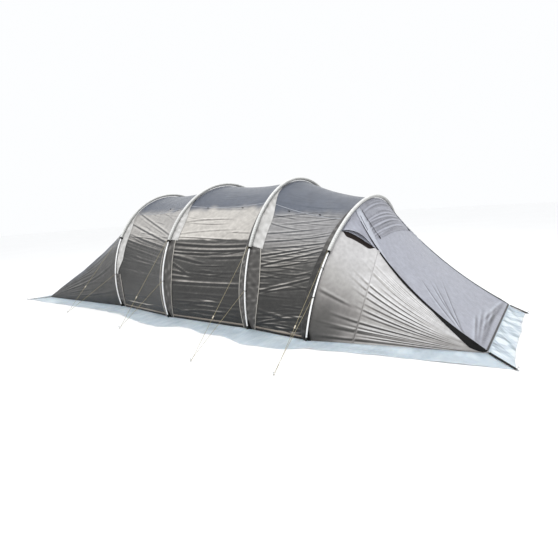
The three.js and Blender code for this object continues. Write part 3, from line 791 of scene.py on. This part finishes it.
def bay_cloth(bay, u, share):
    """The wrinkled cloth of a bay, and how much each part of it faces the sky more than it would."""
    p = bay_surface(bay, u, share)
    near, far, long = share * ARCH_LONG, (1 - share) * ARCH_LONG, BAY_LONG[bay]
    d = np.where(near < ARCH_LONG / 2, folds(u, near, bay_lines(bay, 100 + 10 * bay)),
                 folds(u, far, bay_lines(bay, 200 + 10 * bay)))
    for high, seed, size in ((0.0022, 120, 0.30), (0.0007, 130, 0.06)):
        d = d + high * crumple(near, u * long, seed + bay, size)
    held = fade(u, HELD_OVER / long, HELD_OVER / long)
    plain = normals(p)
    moved = above_hem(p + plain * (d * held * smooth(np.minimum(near, far) / 0.05))[..., None])
    return moved, (normals(moved) - plain)[..., 2]


def bay_tone(bay, u, z, lift):
    """Painted reflection and shade: dark below, rising to a pale shoulder, the roof's slate above, and painted
    highlight and shade where the folds turn.
    """
    dark_to, roof_from = lerp(DARK_TO[bay], u), lerp(ROOF_FROM[bay], u)
    ragged = 0.05 * crumple(u * 1.4, z, 140 + bay, 0.25)
    shoulder = smooth((z + 0.3 * ragged - dark_to) / BLEND_OVER[bay] + 0.5)
    roof = smooth((z + ragged - roof_from) / ROOF_BLEND_OVER + 0.5)
    # Painted shade low down, growing lighter up to the shoulder.
    tone = DARK_TONE[bay] + DARK_RISE * smooth(z / dark_to)
    tone = lerp((lerp((tone, SHOULDER_TONE[bay]), shoulder), ROOF_TONE), roof)
    slate = SHOULDER_SLATE[bay] * shoulder * (1 - roof) + roof
    return tone + FOLD_SHADE * lift + MOTTLE * crumple(u * 1.4, z, 150 + bay, 0.12), slate


def arch_shares():
    """Close together up the sides, where the folds are, and further apart over the top."""
    side = linspace(0, 0.33, 325)
    return np.concatenate([side, linspace(0.33, 0.67, 100)[1:-1], 1 - side[::-1]])


def fly_bay(bay):
    grid_u, grid_s = grid(linspace(0, 1, BAY_ROWS), arch_shares())
    p, lift = bay_cloth(bay, grid_u, grid_s)
    tone, slate = bay_tone(bay, grid_u, p[..., 2], lift)
    piece = sheet_mesh(f"fly_bay_cloth_{bay + 1}", p, FLY, tone=tone, slate=slate)
    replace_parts(piece, f"fly_bay_{bay + 1}")


def strip_on_bay(name, bay, shares, mat, slot):
    """A thin strip sewn along a bay, lying on its folds."""
    p, _ = bay_cloth(bay, *grid(linspace(0, 1, 60), linspace(*shares, 5)))
    sheet_mesh(name, p + normals(p) * TAPE_UP, mat, slot=slot)


def bay_trim(bay, label, side):
    on_side = (lambda share: share) if side < 0 else (lambda share: 1 - share)
    number = f"{label}_{bay + 1}"
    for order, (u, share) in enumerate(TOGGLES[bay], 1):
        p = bay_surface(bay, *grid([u - 0.01, u, u + 0.01], on_side(share) + np.array([-0.001, 0, 0.001])))
        middle = p[1, 1] + normals(p)[1, 1] * TOGGLE_UP
        along = unit(p[2, 1] - p[0, 1]) * TOGGLE_LONG / 2
        lathe_along(f"roof_toggle_{number}_{order}", middle - along, middle + along, CAPSULE, BLACK_PLASTIC,
                    12, slot="webbing")
    seam = (on_side(ROOF_SEAM), on_side(ROOF_SEAM + ROOF_SEAM_WIDE))
    strip_on_bay(f"roof_seam_{number}", bay, seam, ROOF_TAPE, "sleeve")
    strip_on_bay(f"hem_tape_{number}", bay, [on_side(share) for share in HEM_TAPE_SHARES], HEM_TAPE, "webbing")


REAR_RAYS = dict(count=12, place=(0.02, REAR_CUT), slope=(-0.05, 0.05), bow=(-0.03, 0.03),
                 width=(0.003, 0.006), height=(0.003, 0.006), start=(-0.3, 0.3), end=(0.7, 1.1))
REAR_CREASES = dict(count=9, place=(REAR_CUT, 0.36), slope=(-0.02, 0.10), bow=(-0.02, 0.02),
                    width=(0.004, 0.007), height=(0.003, 0.006), start=(-0.2, 0.5), end=(0.6, 1.0))
REAR_OUT, REAR_CRUMPLE = (-1.0, 0.0, 1.0), 0.003


def rear_end():
    u, share = grid(linspace(0, 1, 72), linspace(0, 1, 520))
    p = rear_surface(u, share)
    d = np.zeros(u.shape)
    for seed, at in ((300, share), (310, 1 - share)):
        d += folds(u, at, random_lines(seed, **REAR_RAYS))
    d += REAR_CRUMPLE * crumple(share * 5, u * 2.5, 320, 0.35)
    for at in (share, 1 - share):
        d += folds(u, at, random_lines(330, **REAR_CREASES))
    plain = normals(p, REAR_OUT)
    p = above_hem(p + plain * (d * fade(u, 0.05, 0.20) * fade(share, 0.01, 0.01))[..., None])
    turned = normals(p, REAR_OUT) - plain
    # Painted light: darker low down and lighter higher up as a painted reflection, with painted highlight and
    # shade where the folds turn.
    lift = turned[..., 2] + 0.6 * turned[..., 1] * (2 * share - 1)
    slate = smooth((plain[..., 2] - 0.38) / 0.22)
    tone = lerp((0.08 + 0.16 * smooth(p[..., 2] / 1.2), ROOF_TONE), slate)
    piece = sheet_mesh("rear_end_cloth", p, FLY, tone=tone + lift, slate=slate)
    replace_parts(piece, "fly_rear_side_near", "fly_rear_roof", "fly_rear_side_far")


for bay in range(3):
    fly_bay(bay)
    for label, side in SIDES:
        bay_trim(bay, label, side)
rear_end()


# ---- bands and piping beside the poles ----

# Band widths behind and ahead of each hoop's leg, and from and to what height the light part runs.
BANDS = [
    dict(back=0.0, ahead=0.125, light_from=0.60, light_to=1.60, tone=0.45),
    dict(back=0.125, ahead=0.135, light_from=1.17, light_to=1.72, tone=0.45),
    dict(back=0.125, ahead=0.165, light_from=1.08, light_to=1.80, tone=0.45),
    # The front hoop's band is darker than the others (tone 0.08): painted shadow between its leg and the front
    # side, over the band's own dark cloth.
    dict(back=0.125, ahead=0.0, light_from=1.02, light_to=1.30, tone=0.08),
]
UPPER_BAND_TO, UPPER_BAND_BELOW_TOP, UPPER_BAND_WIDE = 1.74, 0.15, 0.075
LIGHT_BAND_WIDE, REAR_LIGHT_BAND_WIDE, FRONT_LIGHT_BAND_WIDE = 0.135, 0.150, 0.03
PIPING_R = 0.0048


def fly_near_hoop(index, share, off):
    """A point of the plain fly at a distance off along X from a hoop."""
    share, off = np.broadcast_arrays(np.asarray(share, float), np.asarray(off, float))
    if index > 0:
        back = bay_surface(index - 1, 1 + np.minimum(off, 0) / BAY_LONG[index - 1], share)
    else:
        back = rear_surface(-np.minimum(off, 0) / (HOOPS[0]["x"] - REAR_X), share)
    if index == 3:
        return back
    return np.where((off >= 0)[..., None], bay_surface(index, np.maximum(off, 0) / BAY_LONG[index], share), back)


def leg_strip(name, index, side, heights, across, rows, off, rough, lift, tone, mat, slot):
    """A strip of cloth up a leg, as far from its hoop as off says for each t up and place across."""
    low, high = (FLY_ARCS[index].share_at_z(z) if z else 0.0 for z in heights)
    t, across = linspace(0, 1, rows)[:, None], across[None, :]
    share = low + (high - low) * t + 0 * across
    up, wide, seed, size = rough
    rough = crumple(t * up, across * wide, seed + index, size)
    p = fly_near_hoop(index, share, off(t, across))
    p = above_hem(p + normals(p) * (lift(rough) + 0 * share)[..., None])
    sheet_mesh(name, mirrored(p, side), mat, tone=tone[0] + tone[1] * rough + 0 * share, slot=slot)
    return p


def leg_bands(index, label, side):
    band, number = BANDS[index], f"{label}_{index + 1}"
    start, back, ahead = band["light_from"], band["back"], band["ahead"]

    def dark_off(t, across):
        spindle = 0.55 + 0.45 * np.sin(np.clip(t, 0, 1) * math.pi * 0.85 + 0.15)
        return np.where(across < 0, across * back, across * ahead) * spindle

    def light_off(t, across):
        wide = LIGHT_BAND_WIDE * (1 - 0.9 * smooth((t - 0.35) / 0.65)) if ahead else FRONT_LIGHT_BAND_WIDE
        if index == 0:
            wide = REAR_LIGHT_BAND_WIDE * (0.25 + 0.75 * smooth(t / 0.25)) * (1 - 0.8 * smooth((t - 0.6) / 0.4))
        return across * wide if ahead else -across * wide

    def upper_off(t, across):
        return -across * (0.02 + UPPER_BAND_WIDE * (1 - 0.6 * t))

    p = leg_strip(f"leg_band_{number}", index, side, (0, start), linspace(-1, 1, 27), 90, dark_off,
                  (1.3, 0.12, 500, 0.10), lambda rough: 0.0045 + 0.0035 * rough ** 2, (band["tone"], 0.40),
                  BAND, "fly")
    for edge, name in ((0, "back"), (-1, "ahead")):
        if band[name] and index < 3:
            tube(f"piping_{name}_{number}", mirrored(p[:, edge], side), PIPING_R, PIPING, sides=8, slot="sleeve")
    thin = lambda rough: 0.0055 + 0.003 * rough
    leg_strip(f"light_band_{number}", index, side, (start, band["light_to"]), linspace(0, 1, 15), 70,
              light_off, (1.1, 0.12, 530, 0.12), thin, (0.6, 0.4), BAND_LIGHT, "sleeve")
    if index > 0:
        end = min(UPPER_BAND_TO, HOOPS[index]["high"] - UPPER_BAND_BELOW_TOP)
        leg_strip(f"upper_band_{number}", index, side, (start, end), linspace(0, 1, 11), 70, upper_off,
                  (1.1, 0.08, 560, 0.12), thin, (0.5, 0.3), BAND, "fly")


for index in range(len(HOOPS)):
    for label, side in SIDES:
        leg_bands(index, label, side)


# ---- front end ----

# The long folds of a front side: height as a share of the panel at the hoop and at the corner, how
# far they bow, from and to where they run, and how strong they are.
FRONT_FOLDS = [
    (0.66, 0.55, 0.00, 0.12, 0.75, 1.3), (0.60, 0.48, 0.00, 0.10, 0.85, 1.5), (0.53, 0.42, 0.00, 0.14, 0.80, 1.1),
    (0.44, 0.38, 0.01, 0.20, 0.80, 0.9), (0.40, 0.30, 0.00, 0.18, 0.90, 1.0), (0.33, 0.26, 0.01, 0.22, 0.75, 0.8),
    (0.24, 0.22, 0.00, 0.05, 0.90, 1.2), (0.19, 0.17, 0.00, 0.15, 0.95, 1.4), (0.14, 0.14, 0.00, 0.05, 0.80, 1.1),
    (0.10, 0.10, 0.00, 0.20, 1.00, 1.3), (0.055, 0.06, 0.0, 0.00, 0.95, 1.2), (0.36, 0.34, 0.0, -0.1, 0.25, 0.8),
    (0.78, 0.70, 0.00, 0.20, 0.60, 0.7), (0.72, 0.62, 0.00, 0.30, 0.80, 0.8), (0.85, 0.78, 0.0, 0.30, 0.70, 0.6),
]
FRONT_FOLD_WIDTH, FRONT_FOLD_HIGH = 0.009, 0.0042
FRONT_FAN = dict(count=22, place=(0.25, 0.92), slope=(-0.10, 0.02), bow=(-0.02, 0.02),
                 width=(0.005, 0.009), height=(0.001, 0.0026), start=(0.15, 0.6), end=(0.7, 1.0))
FRONT_LOW = dict(count=10, place=(0.02, 0.26), slope=(-0.02, 0.02), bow=(-0.02, 0.02),
                 width=(0.006, 0.010), height=(0.0015, 0.0035), start=(-0.1, 0.35), end=(0.7, 1.1))
FOLD_LINE_SOFT, FOLD_GAP = 0.014, 0.0006
SIDE_OUT, HOOD_OUT, ROOF_OUT = (0.1, -1.0, 0.4), (0.1, -1.0, 0.6), (0.6, 0.0, 1.0)
# The ridges that run across the front roof just ahead of the hoop, as shares of its length.
ROOF_FOLDS_AT = [0.015, 0.035, 0.05, 0.065, 0.085, 0.105, 0.125, 0.15, 0.17, 0.19, 0.205, 0.215]
ROOF_STITCH, ROOF_HEM = (0.222, 0.238), (0.989, 0.998)
# Creases by the near lower corner: share across at the top and at the hem, and where they start and
# end. Puckers along the hem: share of the length at the near and far edge, and how far they reach.
ROOF_CREASES = [(1.70, -0.22, 0.60, 0.94), (1.16, -0.15, 0.58, 0.93), (0.92, -0.10, 0.56, 0.90),
                (0.62, -0.08, 0.52, 0.86)]
ROOF_PUCKERS = [(0.972, 0.930, 0.85), (0.965, 0.890, 0.70), (0.952, 0.840, 0.60), (0.940, 0.780, 0.45)]
ROOF_FOLD_WIDTH, CREASE_WIDTH, PUCKER_WIDTH, CREASE_DEEP = 0.0045, 0.008, 0.006, 0.0035
ROOF_TAPE_UP = 0.002
FLAP_LONG, FLAP_WIDE, FLAP_UP, STITCH_UP, STITCH_HALF, FLAP_TOGGLE_HALF = 0.40, 0.085, 0.005, 0.0065, 0.0024, 0.025
HOOD_FROM, HOOD_TO, HOOD_BOW, HOOD_STAND, HOOD_BULGE, HOOD_RIM_R = 0.012, 0.228, 0.012, 0.006, 0.034, 0.003
MESH_BEHIND, FOLD_TAPE, FOLD_TAPE_BEHIND = 0.012, (-0.012, 0.0012), 0.003
# The zip tape's width down the seam: low down it widens into a black wedge where the door is pulled aside, a dark
# sheet standing in for the shadow in that gap, so partly painted shadow.
ZIP_WIDE_AT = [0.08, 0.20, 0.50, 0.70, 0.84, 0.92, 0.97, 0.995]
ZIP_AND_SHADOW_WIDE = [0.005, 0.011, 0.026, 0.022, 0.055, 0.080, 0.050, 0.010]
ZIP_LIFT, ZIP_SPLIT, ZIP_TEETH_UP, ZIP_TEETH_R = 0.0055, (0.003, 0.016), 0.005, 0.0022
ZIP_THICK, ZIP_CROWN = 0.0012, 0.0004


def front_side_wrinkles(u, v):
    """Folds that fan out of the front corner, and short ones by the hoop; the panel is only a
    narrow point at the corner, so they fade with its height. None cross the door's fold line."""
    lines = [(start_v, end_v, bow, FRONT_FOLD_WIDTH, FRONT_FOLD_HIGH * strong, start, end)
             for start_v, end_v, bow, start, end, strong in FRONT_FOLDS]
    lines += random_lines(400, **FRONT_FAN) + random_lines(401, **FRONT_LOW)
    d = folds(u, v, lines) * np.minimum(1.0, 1.3 * (1 - u))
    d = d + 0.002 * crumple(u * 2, v * 1.6, 402, 0.35)
    at_fold = smooth(np.abs(u - DOOR_FOLD_U) / FOLD_LINE_SOFT)
    return d * at_fold * fade(u, 0.05, 0.15) * fade(v, 0.02, 0.05)


def front_side_cloth(u, v):
    """The wrinkled cloth of a front side and its tone, which is painted light: pale towards the seam, darker at
    the hem and by the hoop's foot, and lighter or darker where the folds turn.
    """
    p = side_surface(u, v)
    plain = normals(p, SIDE_OUT)
    moved = p + plain * front_side_wrinkles(u, v)[..., None]
    lift = (normals(moved, SIDE_OUT) - plain)[..., 2]
    # Painted reflection up towards the seam, painted shade in the lower corner by the hoop's foot, and painted
    # highlight and shade on the folds.
    tone = 0.44 + 0.34 * smooth((v - 0.20) / 0.6)
    tone = tone - 0.34 * (1 - smooth((u - 0.05) / 0.35)) * (1 - smooth((v - 0.12) / 0.38))
    return moved, tone + 1.6 * lift + 0.03 * crumple(u * 2, v * 1.5, 403, 0.15)


def vent_middle(u):
    return VENT_FROM + (1 - VENT_FROM) * (u / DOOR_FOLD_U) ** VENT_BEND


def front_side_piece(label, side):
    """The fixed part of a front side, with the vent's slot left open: below it and above it."""
    u = linspace(0.002, DOOR_FOLD_U - FOLD_GAP, 60)
    below = vent_middle(u) - VENT_WIDE * window(u, 0.004, 0.262, 0.06)
    for part, low, high, rows in (("low", 0 * u, below, 150), ("high", vent_middle(u), 0 * u + 1, 40)):
        v = between(low, high, rows)
        p, tone = front_side_cloth(u[:, None] + 0 * v, v)
        mat, tone = (DOOR, tone) if part == "low" else (FRONT, tone - 0.30)
        piece = sheet_mesh(f"front_side_{part}_{label}", mirrored(p, side), mat, tone=tone)
        if part == "low":
            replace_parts(piece, f"fly_front_side_{label}")


def door_piece(label, side):
    p, tone = front_side_cloth(*grid(linspace(DOOR_FOLD_U + FOLD_GAP, 1.0, 130), linspace(0, 1, 190)))
    piece = sheet_mesh(f"door_cloth_{label}", mirrored(p, side), DOOR, tone=tone, body=f"door_{label}")
    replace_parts(piece, f"door_{label}")


def fold_tape(label, side):
    """The tape inside the door's fold line, that the door hangs from."""
    p, tone = front_side_cloth(*grid(DOOR_FOLD_U + linspace(*FOLD_TAPE, 5), linspace(0.01, 0.97, 80)))
    p = p - normals(p, SIDE_OUT) * FOLD_TAPE_BEHIND
    sheet_mesh(f"door_fold_tape_{label}", mirrored(p, side), DOOR, tone=tone, slot="door")


def front_roof_cloth(u, across):
    """The wrinkled cloth of the front roof, its plain normals and its tone: painted highlight and shade where the
    folds turn, and painted shade in the creases.
    """
    p = roof_surface(u, across)
    rng = random.Random(410)
    lines = [(at + rng.uniform(-0.01, 0.01), at + rng.uniform(-0.01, 0.01), rng.uniform(-0.01, 0.01),
              ROOF_FOLD_WIDTH, rng.uniform(0.003, 0.006), rng.uniform(-0.3, 0.3), rng.uniform(0.7, 1.3))
             for at in ROOF_FOLDS_AT]
    creases = [(top, hem, 0.0, CREASE_WIDTH, 1.0, start, end) for top, hem, start, end in ROOF_CREASES]
    puckers = [(near, far, 0.0, PUCKER_WIDTH, 1.0, -0.1, reach) for near, far, reach in ROOF_PUCKERS]
    creased = folds(u, across, creases) + folds(across, u, puckers) + folds(1 - across, u, puckers[:2])
    d = folds(across, u, lines)
    d = d - CREASE_DEEP * creased + 0.003 * crumple(u * 2, across * 1.5, 412, 0.5)
    edge = fade(u, 0.02, 0.05) * fade(across, 0.05, 0.05)
    plain = normals(p, ROOF_OUT)
    moved = p + plain * (d * edge)[..., None]
    turned = normals(moved, ROOF_OUT) - plain
    # Painted highlight and shade where the folds turn up, forward or out to the side; the creases get painted
    # shade.
    lift = turned[..., 2] + 0.6 * turned[..., 0] + turned[..., 1] * (2 * across - 1)
    tone = 0.40 + 0.10 * smooth((u - 0.20) / 0.05) + 1.4 * lift - 0.34 * creased * edge
    return moved, plain, tone + 0.04 * crumple(u * 2, across * 1.5, 413, 0.12)


def front_roof():
    u = np.concatenate([linspace(0, 0.26, 82), linspace(0.26, 0.5, 14)[1:], linspace(0.5, 1, 112)[1:]])
    p, _, tone = front_roof_cloth(*grid(u, linspace(0, 1, 230)))
    piece = sheet_mesh("front_roof_cloth", p, FRONT, tone=tone)
    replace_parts(piece, "fly_front_roof")
    p, plain, tone = front_roof_cloth(*grid(linspace(*ROOF_STITCH, 5), linspace(0.17, 0.83, 90)))
    sheet_mesh("roof_stitched_band", p + plain * ROOF_TAPE_UP, FRONT, tone=tone - 0.1, slot="front_panel")
    p, plain, _ = front_roof_cloth(*grid(linspace(*ROOF_HEM, 5), linspace(0.002, 0.998, 120)))
    sheet_mesh("roof_hem_tape", p + plain * ROOF_TAPE_UP, BAND, tone=0.15, slot="webbing")


def roof_strip(name, u, low, high, mat, side, lift, slot, tone=None):
    """A strip on the front roof between two lines, given as shares across for each u."""
    across = between(low, high, 5)
    p, plain, shade = front_roof_cloth(u[:, None] + 0 * across, across)
    p = p + plain * lift
    sheet_mesh(name, mirrored(p, side), mat, tone=shade if tone is None else tone, slot=slot)
    return p


def seam_flap(label, side):
    """The pale rain flap over the top of the door zip, edged with dark stitching."""
    u = linspace(0.005, FLAP_LONG, 60)
    wide = FLAP_WIDE * (1 - smooth((u - 0.10) / (FLAP_LONG - 0.10))) + 0.006
    roof_strip(f"seam_flap_{label}", u, 0 * u + 0.002, wide, FRONT, side, FLAP_UP, "front_panel", 0.74)
    for name, start, end in (("top", (0.03, 0.100), (0.225, 0.125)), ("low", (0.05, 0.035), (0.15, 0.022))):
        u, middle = (linspace(a, b, 40) for a, b in zip(start, end))
        edge = roof_strip(f"flap_stitching_{name}_{label}", u, middle - STITCH_HALF, middle + STITCH_HALF,
                          BLACK_TAPE, side, STITCH_UP, "webbing")
        if name == "top":
            tip, along = edge[-1, 2], unit(edge[-1, 2] - edge[-3, 2]) * FLAP_TOGGLE_HALF
            lathe_along(f"flap_toggle_{label}", mirrored(tip - along, side), mirrored(tip + along, side),
                        CAPSULE, BLACK_PLASTIC, 12, slot="webbing")


def hood_piece(label, side):
    """A vent hood that stands off the cloth along its lower edge."""
    u, t = grid(linspace(HOOD_FROM, HOOD_TO, 48), linspace(0, 1, 26))
    bow = np.sin(math.pi * (u - HOOD_FROM) / (HOOD_TO - HOOD_FROM))
    middle = vent_middle(u)
    p = side_surface(u, lerp((middle + HOOD_BOW * bow, np.minimum(middle + (1 - middle) * 0.6 + 0.008, 0.982)), t))
    stand = HOOD_STAND + HOOD_BULGE * bow * (1 - t) ** 1.5 + 0.002 * crumple(u * 2, t * 0.3, 420, 0.12)
    p = p + normals(p, HOOD_OUT) * stand[..., None]
    tone = 0.50 + 0.12 * crumple(u * 2, t * 0.3, 421, 0.2)
    body = f"vent_hood_{label}"
    piece = sheet_mesh(f"hood_cloth_{label}", mirrored(p, side), FRONT, 0.002, tone, body=body)
    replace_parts(piece, f"vent_hood_{label}")
    tube(f"hood_rim_{label}", mirrored(p[:, 0], side), HOOD_RIM_R, BLACK_TAPE, sides=8, body=body, slot="webbing")


def vent_piece(label, side):
    u, t = grid(linspace(0.005, 0.26, 40), linspace(0, 1, 8))
    v = vent_middle(u) - (VENT_WIDE + 0.02) + t * (VENT_WIDE + 0.04)
    p = side_surface(u, np.minimum(v, 0.999))
    p = p - normals(p, HOOD_OUT) * MESH_BEHIND
    sheet_mesh(f"vent_mesh_{label}", mirrored(p, side), VENT, slot="webbing")


def zip_piece(name, side, start, end, **where):
    """The black zip tape along the door seam: above the fold it stays, below it opens with the door."""
    u = linspace(start, end, 200)
    seam = seam_point(u)
    tall = np.linalg.norm(side_surface(u, 0 * u) - seam, axis=-1)
    # Low down the width is mostly painted shadow: black tape filling the gap where the door is pulled aside.
    width = np.minimum(np.interp(u, ZIP_WIDE_AT, ZIP_AND_SHADOW_WIDE), 0.75 * tall)
    down = unit(side_surface(u, 0.93 + 0 * u) - seam)
    face = unit(np.cross(down, np.gradient(seam, axis=0)))
    face = face * np.where((face[:, 1:2] > 0), -1, 1)
    centre = seam + down * (width / 2 - 0.004)[:, None] + face * ZIP_LIFT
    ribbon(name, mirrored(centre, side), width, BLACK_TAPE, mirrored(face, side), ZIP_THICK, ZIP_CROWN,
           slot="webbing", **where)


def zip_pieces(label, side):
    zip_piece(f"zip_tape_upper_{label}", side, ZIP_WIDE_AT[0], DOOR_FOLD_U - ZIP_SPLIT[0])
    zip_piece(f"zip_tape_door_{label}", side, DOOR_FOLD_U + ZIP_SPLIT[1], ZIP_WIDE_AT[-1], body=f"door_{label}")
    path = seam_point(linspace(ZIP_WIDE_AT[0], 0.985, 200)) + np.array([0, 0.6, 1]) * ZIP_TEETH_UP
    tube(f"zip_teeth_{label}", mirrored(path, side), ZIP_TEETH_R, BLACK_PLASTIC, sides=8, slot="slider")
    slider = frame["nodes"][f"zip_slider_{label}"].data.materials
    slider.clear()
    slider.append(BLACK_METAL)


for label, side in SIDES:
    for make in (front_side_piece, door_piece, fold_tape, hood_piece, vent_piece, zip_pieces, seam_flap):
        make(label, side)
front_roof()


# ---- skirts, groundsheet, corner straps ----

HEM_X = [REAR_X] + [h["x"] for h in HOOPS] + [FRONT_X]
HEM_Y = [REAR_HALF] + [h["foot"] - FLY_INSET for h in HOOPS] + [FRONT_HALF]
# How wide the side skirts lie, at places along the tent, and how the far one ends at the front.
SKIRT_AT = [REAR_X, -3.0, -1.8, -1.2, -0.35, 0.0, 0.3, 0.85, 1.2, 1.55, 2.15, 2.3, 2.9, 3.65, FRONT_X]
SKIRT_WIDTH = [0.29, 0.30, 0.33, 0.33, 0.41, 0.40, 0.26, 0.38, 0.36, 0.46, 0.33, 0.25, 0.25, 0.29, 0.27]
FAR_FRONT_WIDTH, SKIRT_THICK, SKIRT_COLUMNS = 0.012, 0.0012, 20
GROUNDSHEET_IN, GROUNDSHEET_THICK = 0.06, 0.0016
STRAP_WIDE, STRAP_SHORT, RING_R, RING_WIRE_R = 0.028, 0.010, 0.0105, 0.0022


def skirt_grid(inner, outer, seed, rise, shade=0.55):
    """A strip from the hem down to the ground, its free edge wandering and its cloth rippled."""
    t = linspace(0, 1, SKIRT_COLUMNS)[None, :]
    run = measure(np.linalg.norm(np.diff(outer, axis=0), axis=-1))[:, None]
    p = inner[:, None] + (outer - inner)[:, None] * t[..., None]
    ripple = 0.016 * np.maximum(0, 0.5 + crumple(run, t * 0.3, seed, 0.26)) ** 1.5
    ripple = ripple + 0.003 * np.maximum(0, 0.5 + crumple(run, t * 0.3, seed + 1, 0.07))
    ripple = ripple * window(run, 0, run[-1], 0.25)
    p[..., 2] = 0.0015 + rise * (1 - t) ** 3 + ripple * smooth(t / 0.15) * (1 - 0.5 * t)
    slope = np.gradient(p[..., 2], axis=0) / np.maximum(np.gradient(run, axis=0), 1e-6)
    # The tone holds painted highlight and shade from the ripples' slope, and is darker near the hem.
    return p, 0.55 + shade * slope - 0.10 * (1 - smooth(t / 0.3))


def side_skirt(label, side):
    x = linspace(REAR_X, FRONT_X, 640)
    y = np.interp(x, HEM_X, HEM_Y)
    width = np.interp(x, SKIRT_AT, SKIRT_WIDTH)
    wander = 0.030 * crumple(x, 0 * x, 600 + side, 0.7) + 0.012 * crumple(x, 0 * x, 610 + side, 0.2)
    held = window(x, REAR_X, FRONT_X, 0.3)
    to_front = SKIRT_OUT["front"] * smooth(1 - (FRONT_X - x) / 0.5)
    if side > 0:
        ending = smooth((x - HOOPS[3]["x"]) / (FRONT_X - HOOPS[3]["x"]))
        width, to_front = lerp((width, FAR_FRONT_WIDTH), ending), 0.0
    out_x = x - SKIRT_OUT["rear"] * smooth(1 - (x - REAR_X) / 0.5) + to_front
    p, tone = skirt_grid(points(x, -(y - 0.004), 0), points(out_x, -(y + width + wander * held), 0),
                         620 + side, 0.012)
    piece = sheet_mesh(f"skirt_film_{label}", mirrored(p, side), SKIRT, SKIRT_THICK, tone)
    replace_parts(piece, f"skirt_{label}")


def end_skirt(label, inner_ends, outer_ends, seed):
    t = linspace(0, 1, 220)[:, None]
    inner, outer = (lerp(np.array(ends), t) for ends in (inner_ends, outer_ends))
    wander = (0.02 * crumple(2 * t, 0 * t, seed, 0.5) - 0.02) * fade(t, 0.12, 0.12)
    outer = outer + (outer - inner) * wander / 0.25
    p, tone = skirt_grid(points(*inner.T, 0), points(*outer.T, 0), seed + 10, 0.028, 3.0)
    piece = sheet_mesh(f"skirt_film_{label}", p, SKIRT, SKIRT_THICK, tone)
    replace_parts(piece, f"skirt_{label}")


def groundsheet():
    x = linspace(REAR_X + GROUNDSHEET_IN, HOOPS[3]["x"], 160)[:, None]
    y = np.interp(x, HEM_X, HEM_Y) - GROUNDSHEET_IN
    t = linspace(-1, 1, 80)[None, :]
    p = points(x + 0 * t, y * t, 0.0)
    p[..., 2] = 0.002 + 0.0006 * crumple(p[..., 0], p[..., 1], 660, 0.4)
    piece = sheet_mesh("groundsheet_cloth", p, GROUNDSHEET, GROUNDSHEET_THICK)
    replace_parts(piece, "groundsheet")


def corner_strap(end, label, side):
    hem = (REAR_X, REAR_HALF) if end == "rear" else (FRONT_X, FRONT_HALF)
    peg = np.array([*CORNER_PEGS[end][label], 0.005])
    corner = np.array([hem[0], side * hem[1], 0.022])
    away = level_unit(peg - corner)
    start = corner + away * STRAP_SHORT
    path = start + (peg - away * 0.012 - corner - away * STRAP_SHORT) * linspace(0, 1, 24)[:, None]
    path[:, 2] += 0.003
    strap = ribbon(f"strap_webbing_{end}_{label}", path, STRAP_WIDE, BLACK_TAPE)
    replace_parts(strap, f"corner_strap_{end}_{label}")
    ring = [peg + RING_R * np.array([math.cos(a), math.sin(a), 0]) for a in linspace(0, 2 * math.pi, 19)]
    tube(f"strap_ring_{end}_{label}", ring, RING_WIRE_R, STEEL, sides=8, up=Z_AXIS, slot="peg")
    head = hooked_peg(f"peg_wire_{end}_{label}", peg, away)
    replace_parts(head, f"corner_peg_{end}_{label}")


for label, side in SIDES:
    side_skirt(label, side)
    for end in CORNER_PEGS:
        corner_strap(end, label, side)
rear_out = (REAR_X - SKIRT_OUT["rear"], REAR_HALF + SKIRT_OUT["rear_corner"] - 0.012)
front_out = (FRONT_X + SKIRT_OUT["front"], -(FRONT_HALF + SKIRT_OUT["front_corner"] - 0.012))
end_skirt("rear", [(REAR_X + 0.004, -REAR_HALF), (REAR_X + 0.004, REAR_HALF)],
          [(rear_out[0], -rear_out[1]), rear_out], 640)
end_skirt("front", [(FRONT_X - 0.004, -FRONT_HALF), (FRONT_X - 0.004, FRONT_HALF)],
          [front_out, FRONT_SKIRT_FAR], 642)
groundsheet()


# ---- floor and light ----

def floor():
    bpy.ops.mesh.primitive_plane_add(size=120, location=(0, 0, -0.001))
    plane = bpy.context.object
    plane.name = "floor"
    m = Nodes("floor_paper", 0.9, specular=0.1)
    m.set("Base Color", m.ramp(m.noise(0.4, 2.0), (0.3, "fbfbfb"), (0.7, "fdfdfd")))
    plane.data.materials.append(m.mat)


def area_light(name, place, target, size, power, color):
    data = bpy.data.lights.new(name, "AREA")
    data.size, data.energy, data.color = size, power, color
    lamp = bpy.data.objects.new(name, data)
    bpy.context.scene.collection.objects.link(lamp)
    lamp.location = place
    lamp.rotation_mode = "QUATERNION"
    lamp.rotation_quaternion = (Vector(target) - Vector(place)).to_track_quat("-Z", "Y")


def world():
    sky = bpy.data.worlds.new("studio")
    bpy.context.scene.world = sky
    sky.use_nodes = True
    background = sky.node_tree.nodes["Background"].inputs
    background[0].default_value, background[1].default_value = (0.98, 0.99, 1.0, 1.0), 1.0


floor()
world()
bpy.context.scene.view_settings.view_transform = "Standard"
area_light("key", (1.0, -8.0, 9.0), (0.5, 0, 0.8), 6.0, 380, (1.0, 0.99, 0.97))
area_light("top", (0.0, 1.0, 10.0), (0, 0, 0.8), 9.0, 150, (0.95, 0.97, 1.0))
area_light("front", (10.0, -3.0, 5.0), (2.0, 0, 0.8), 5.0, 80, (1.0, 1.0, 1.0))
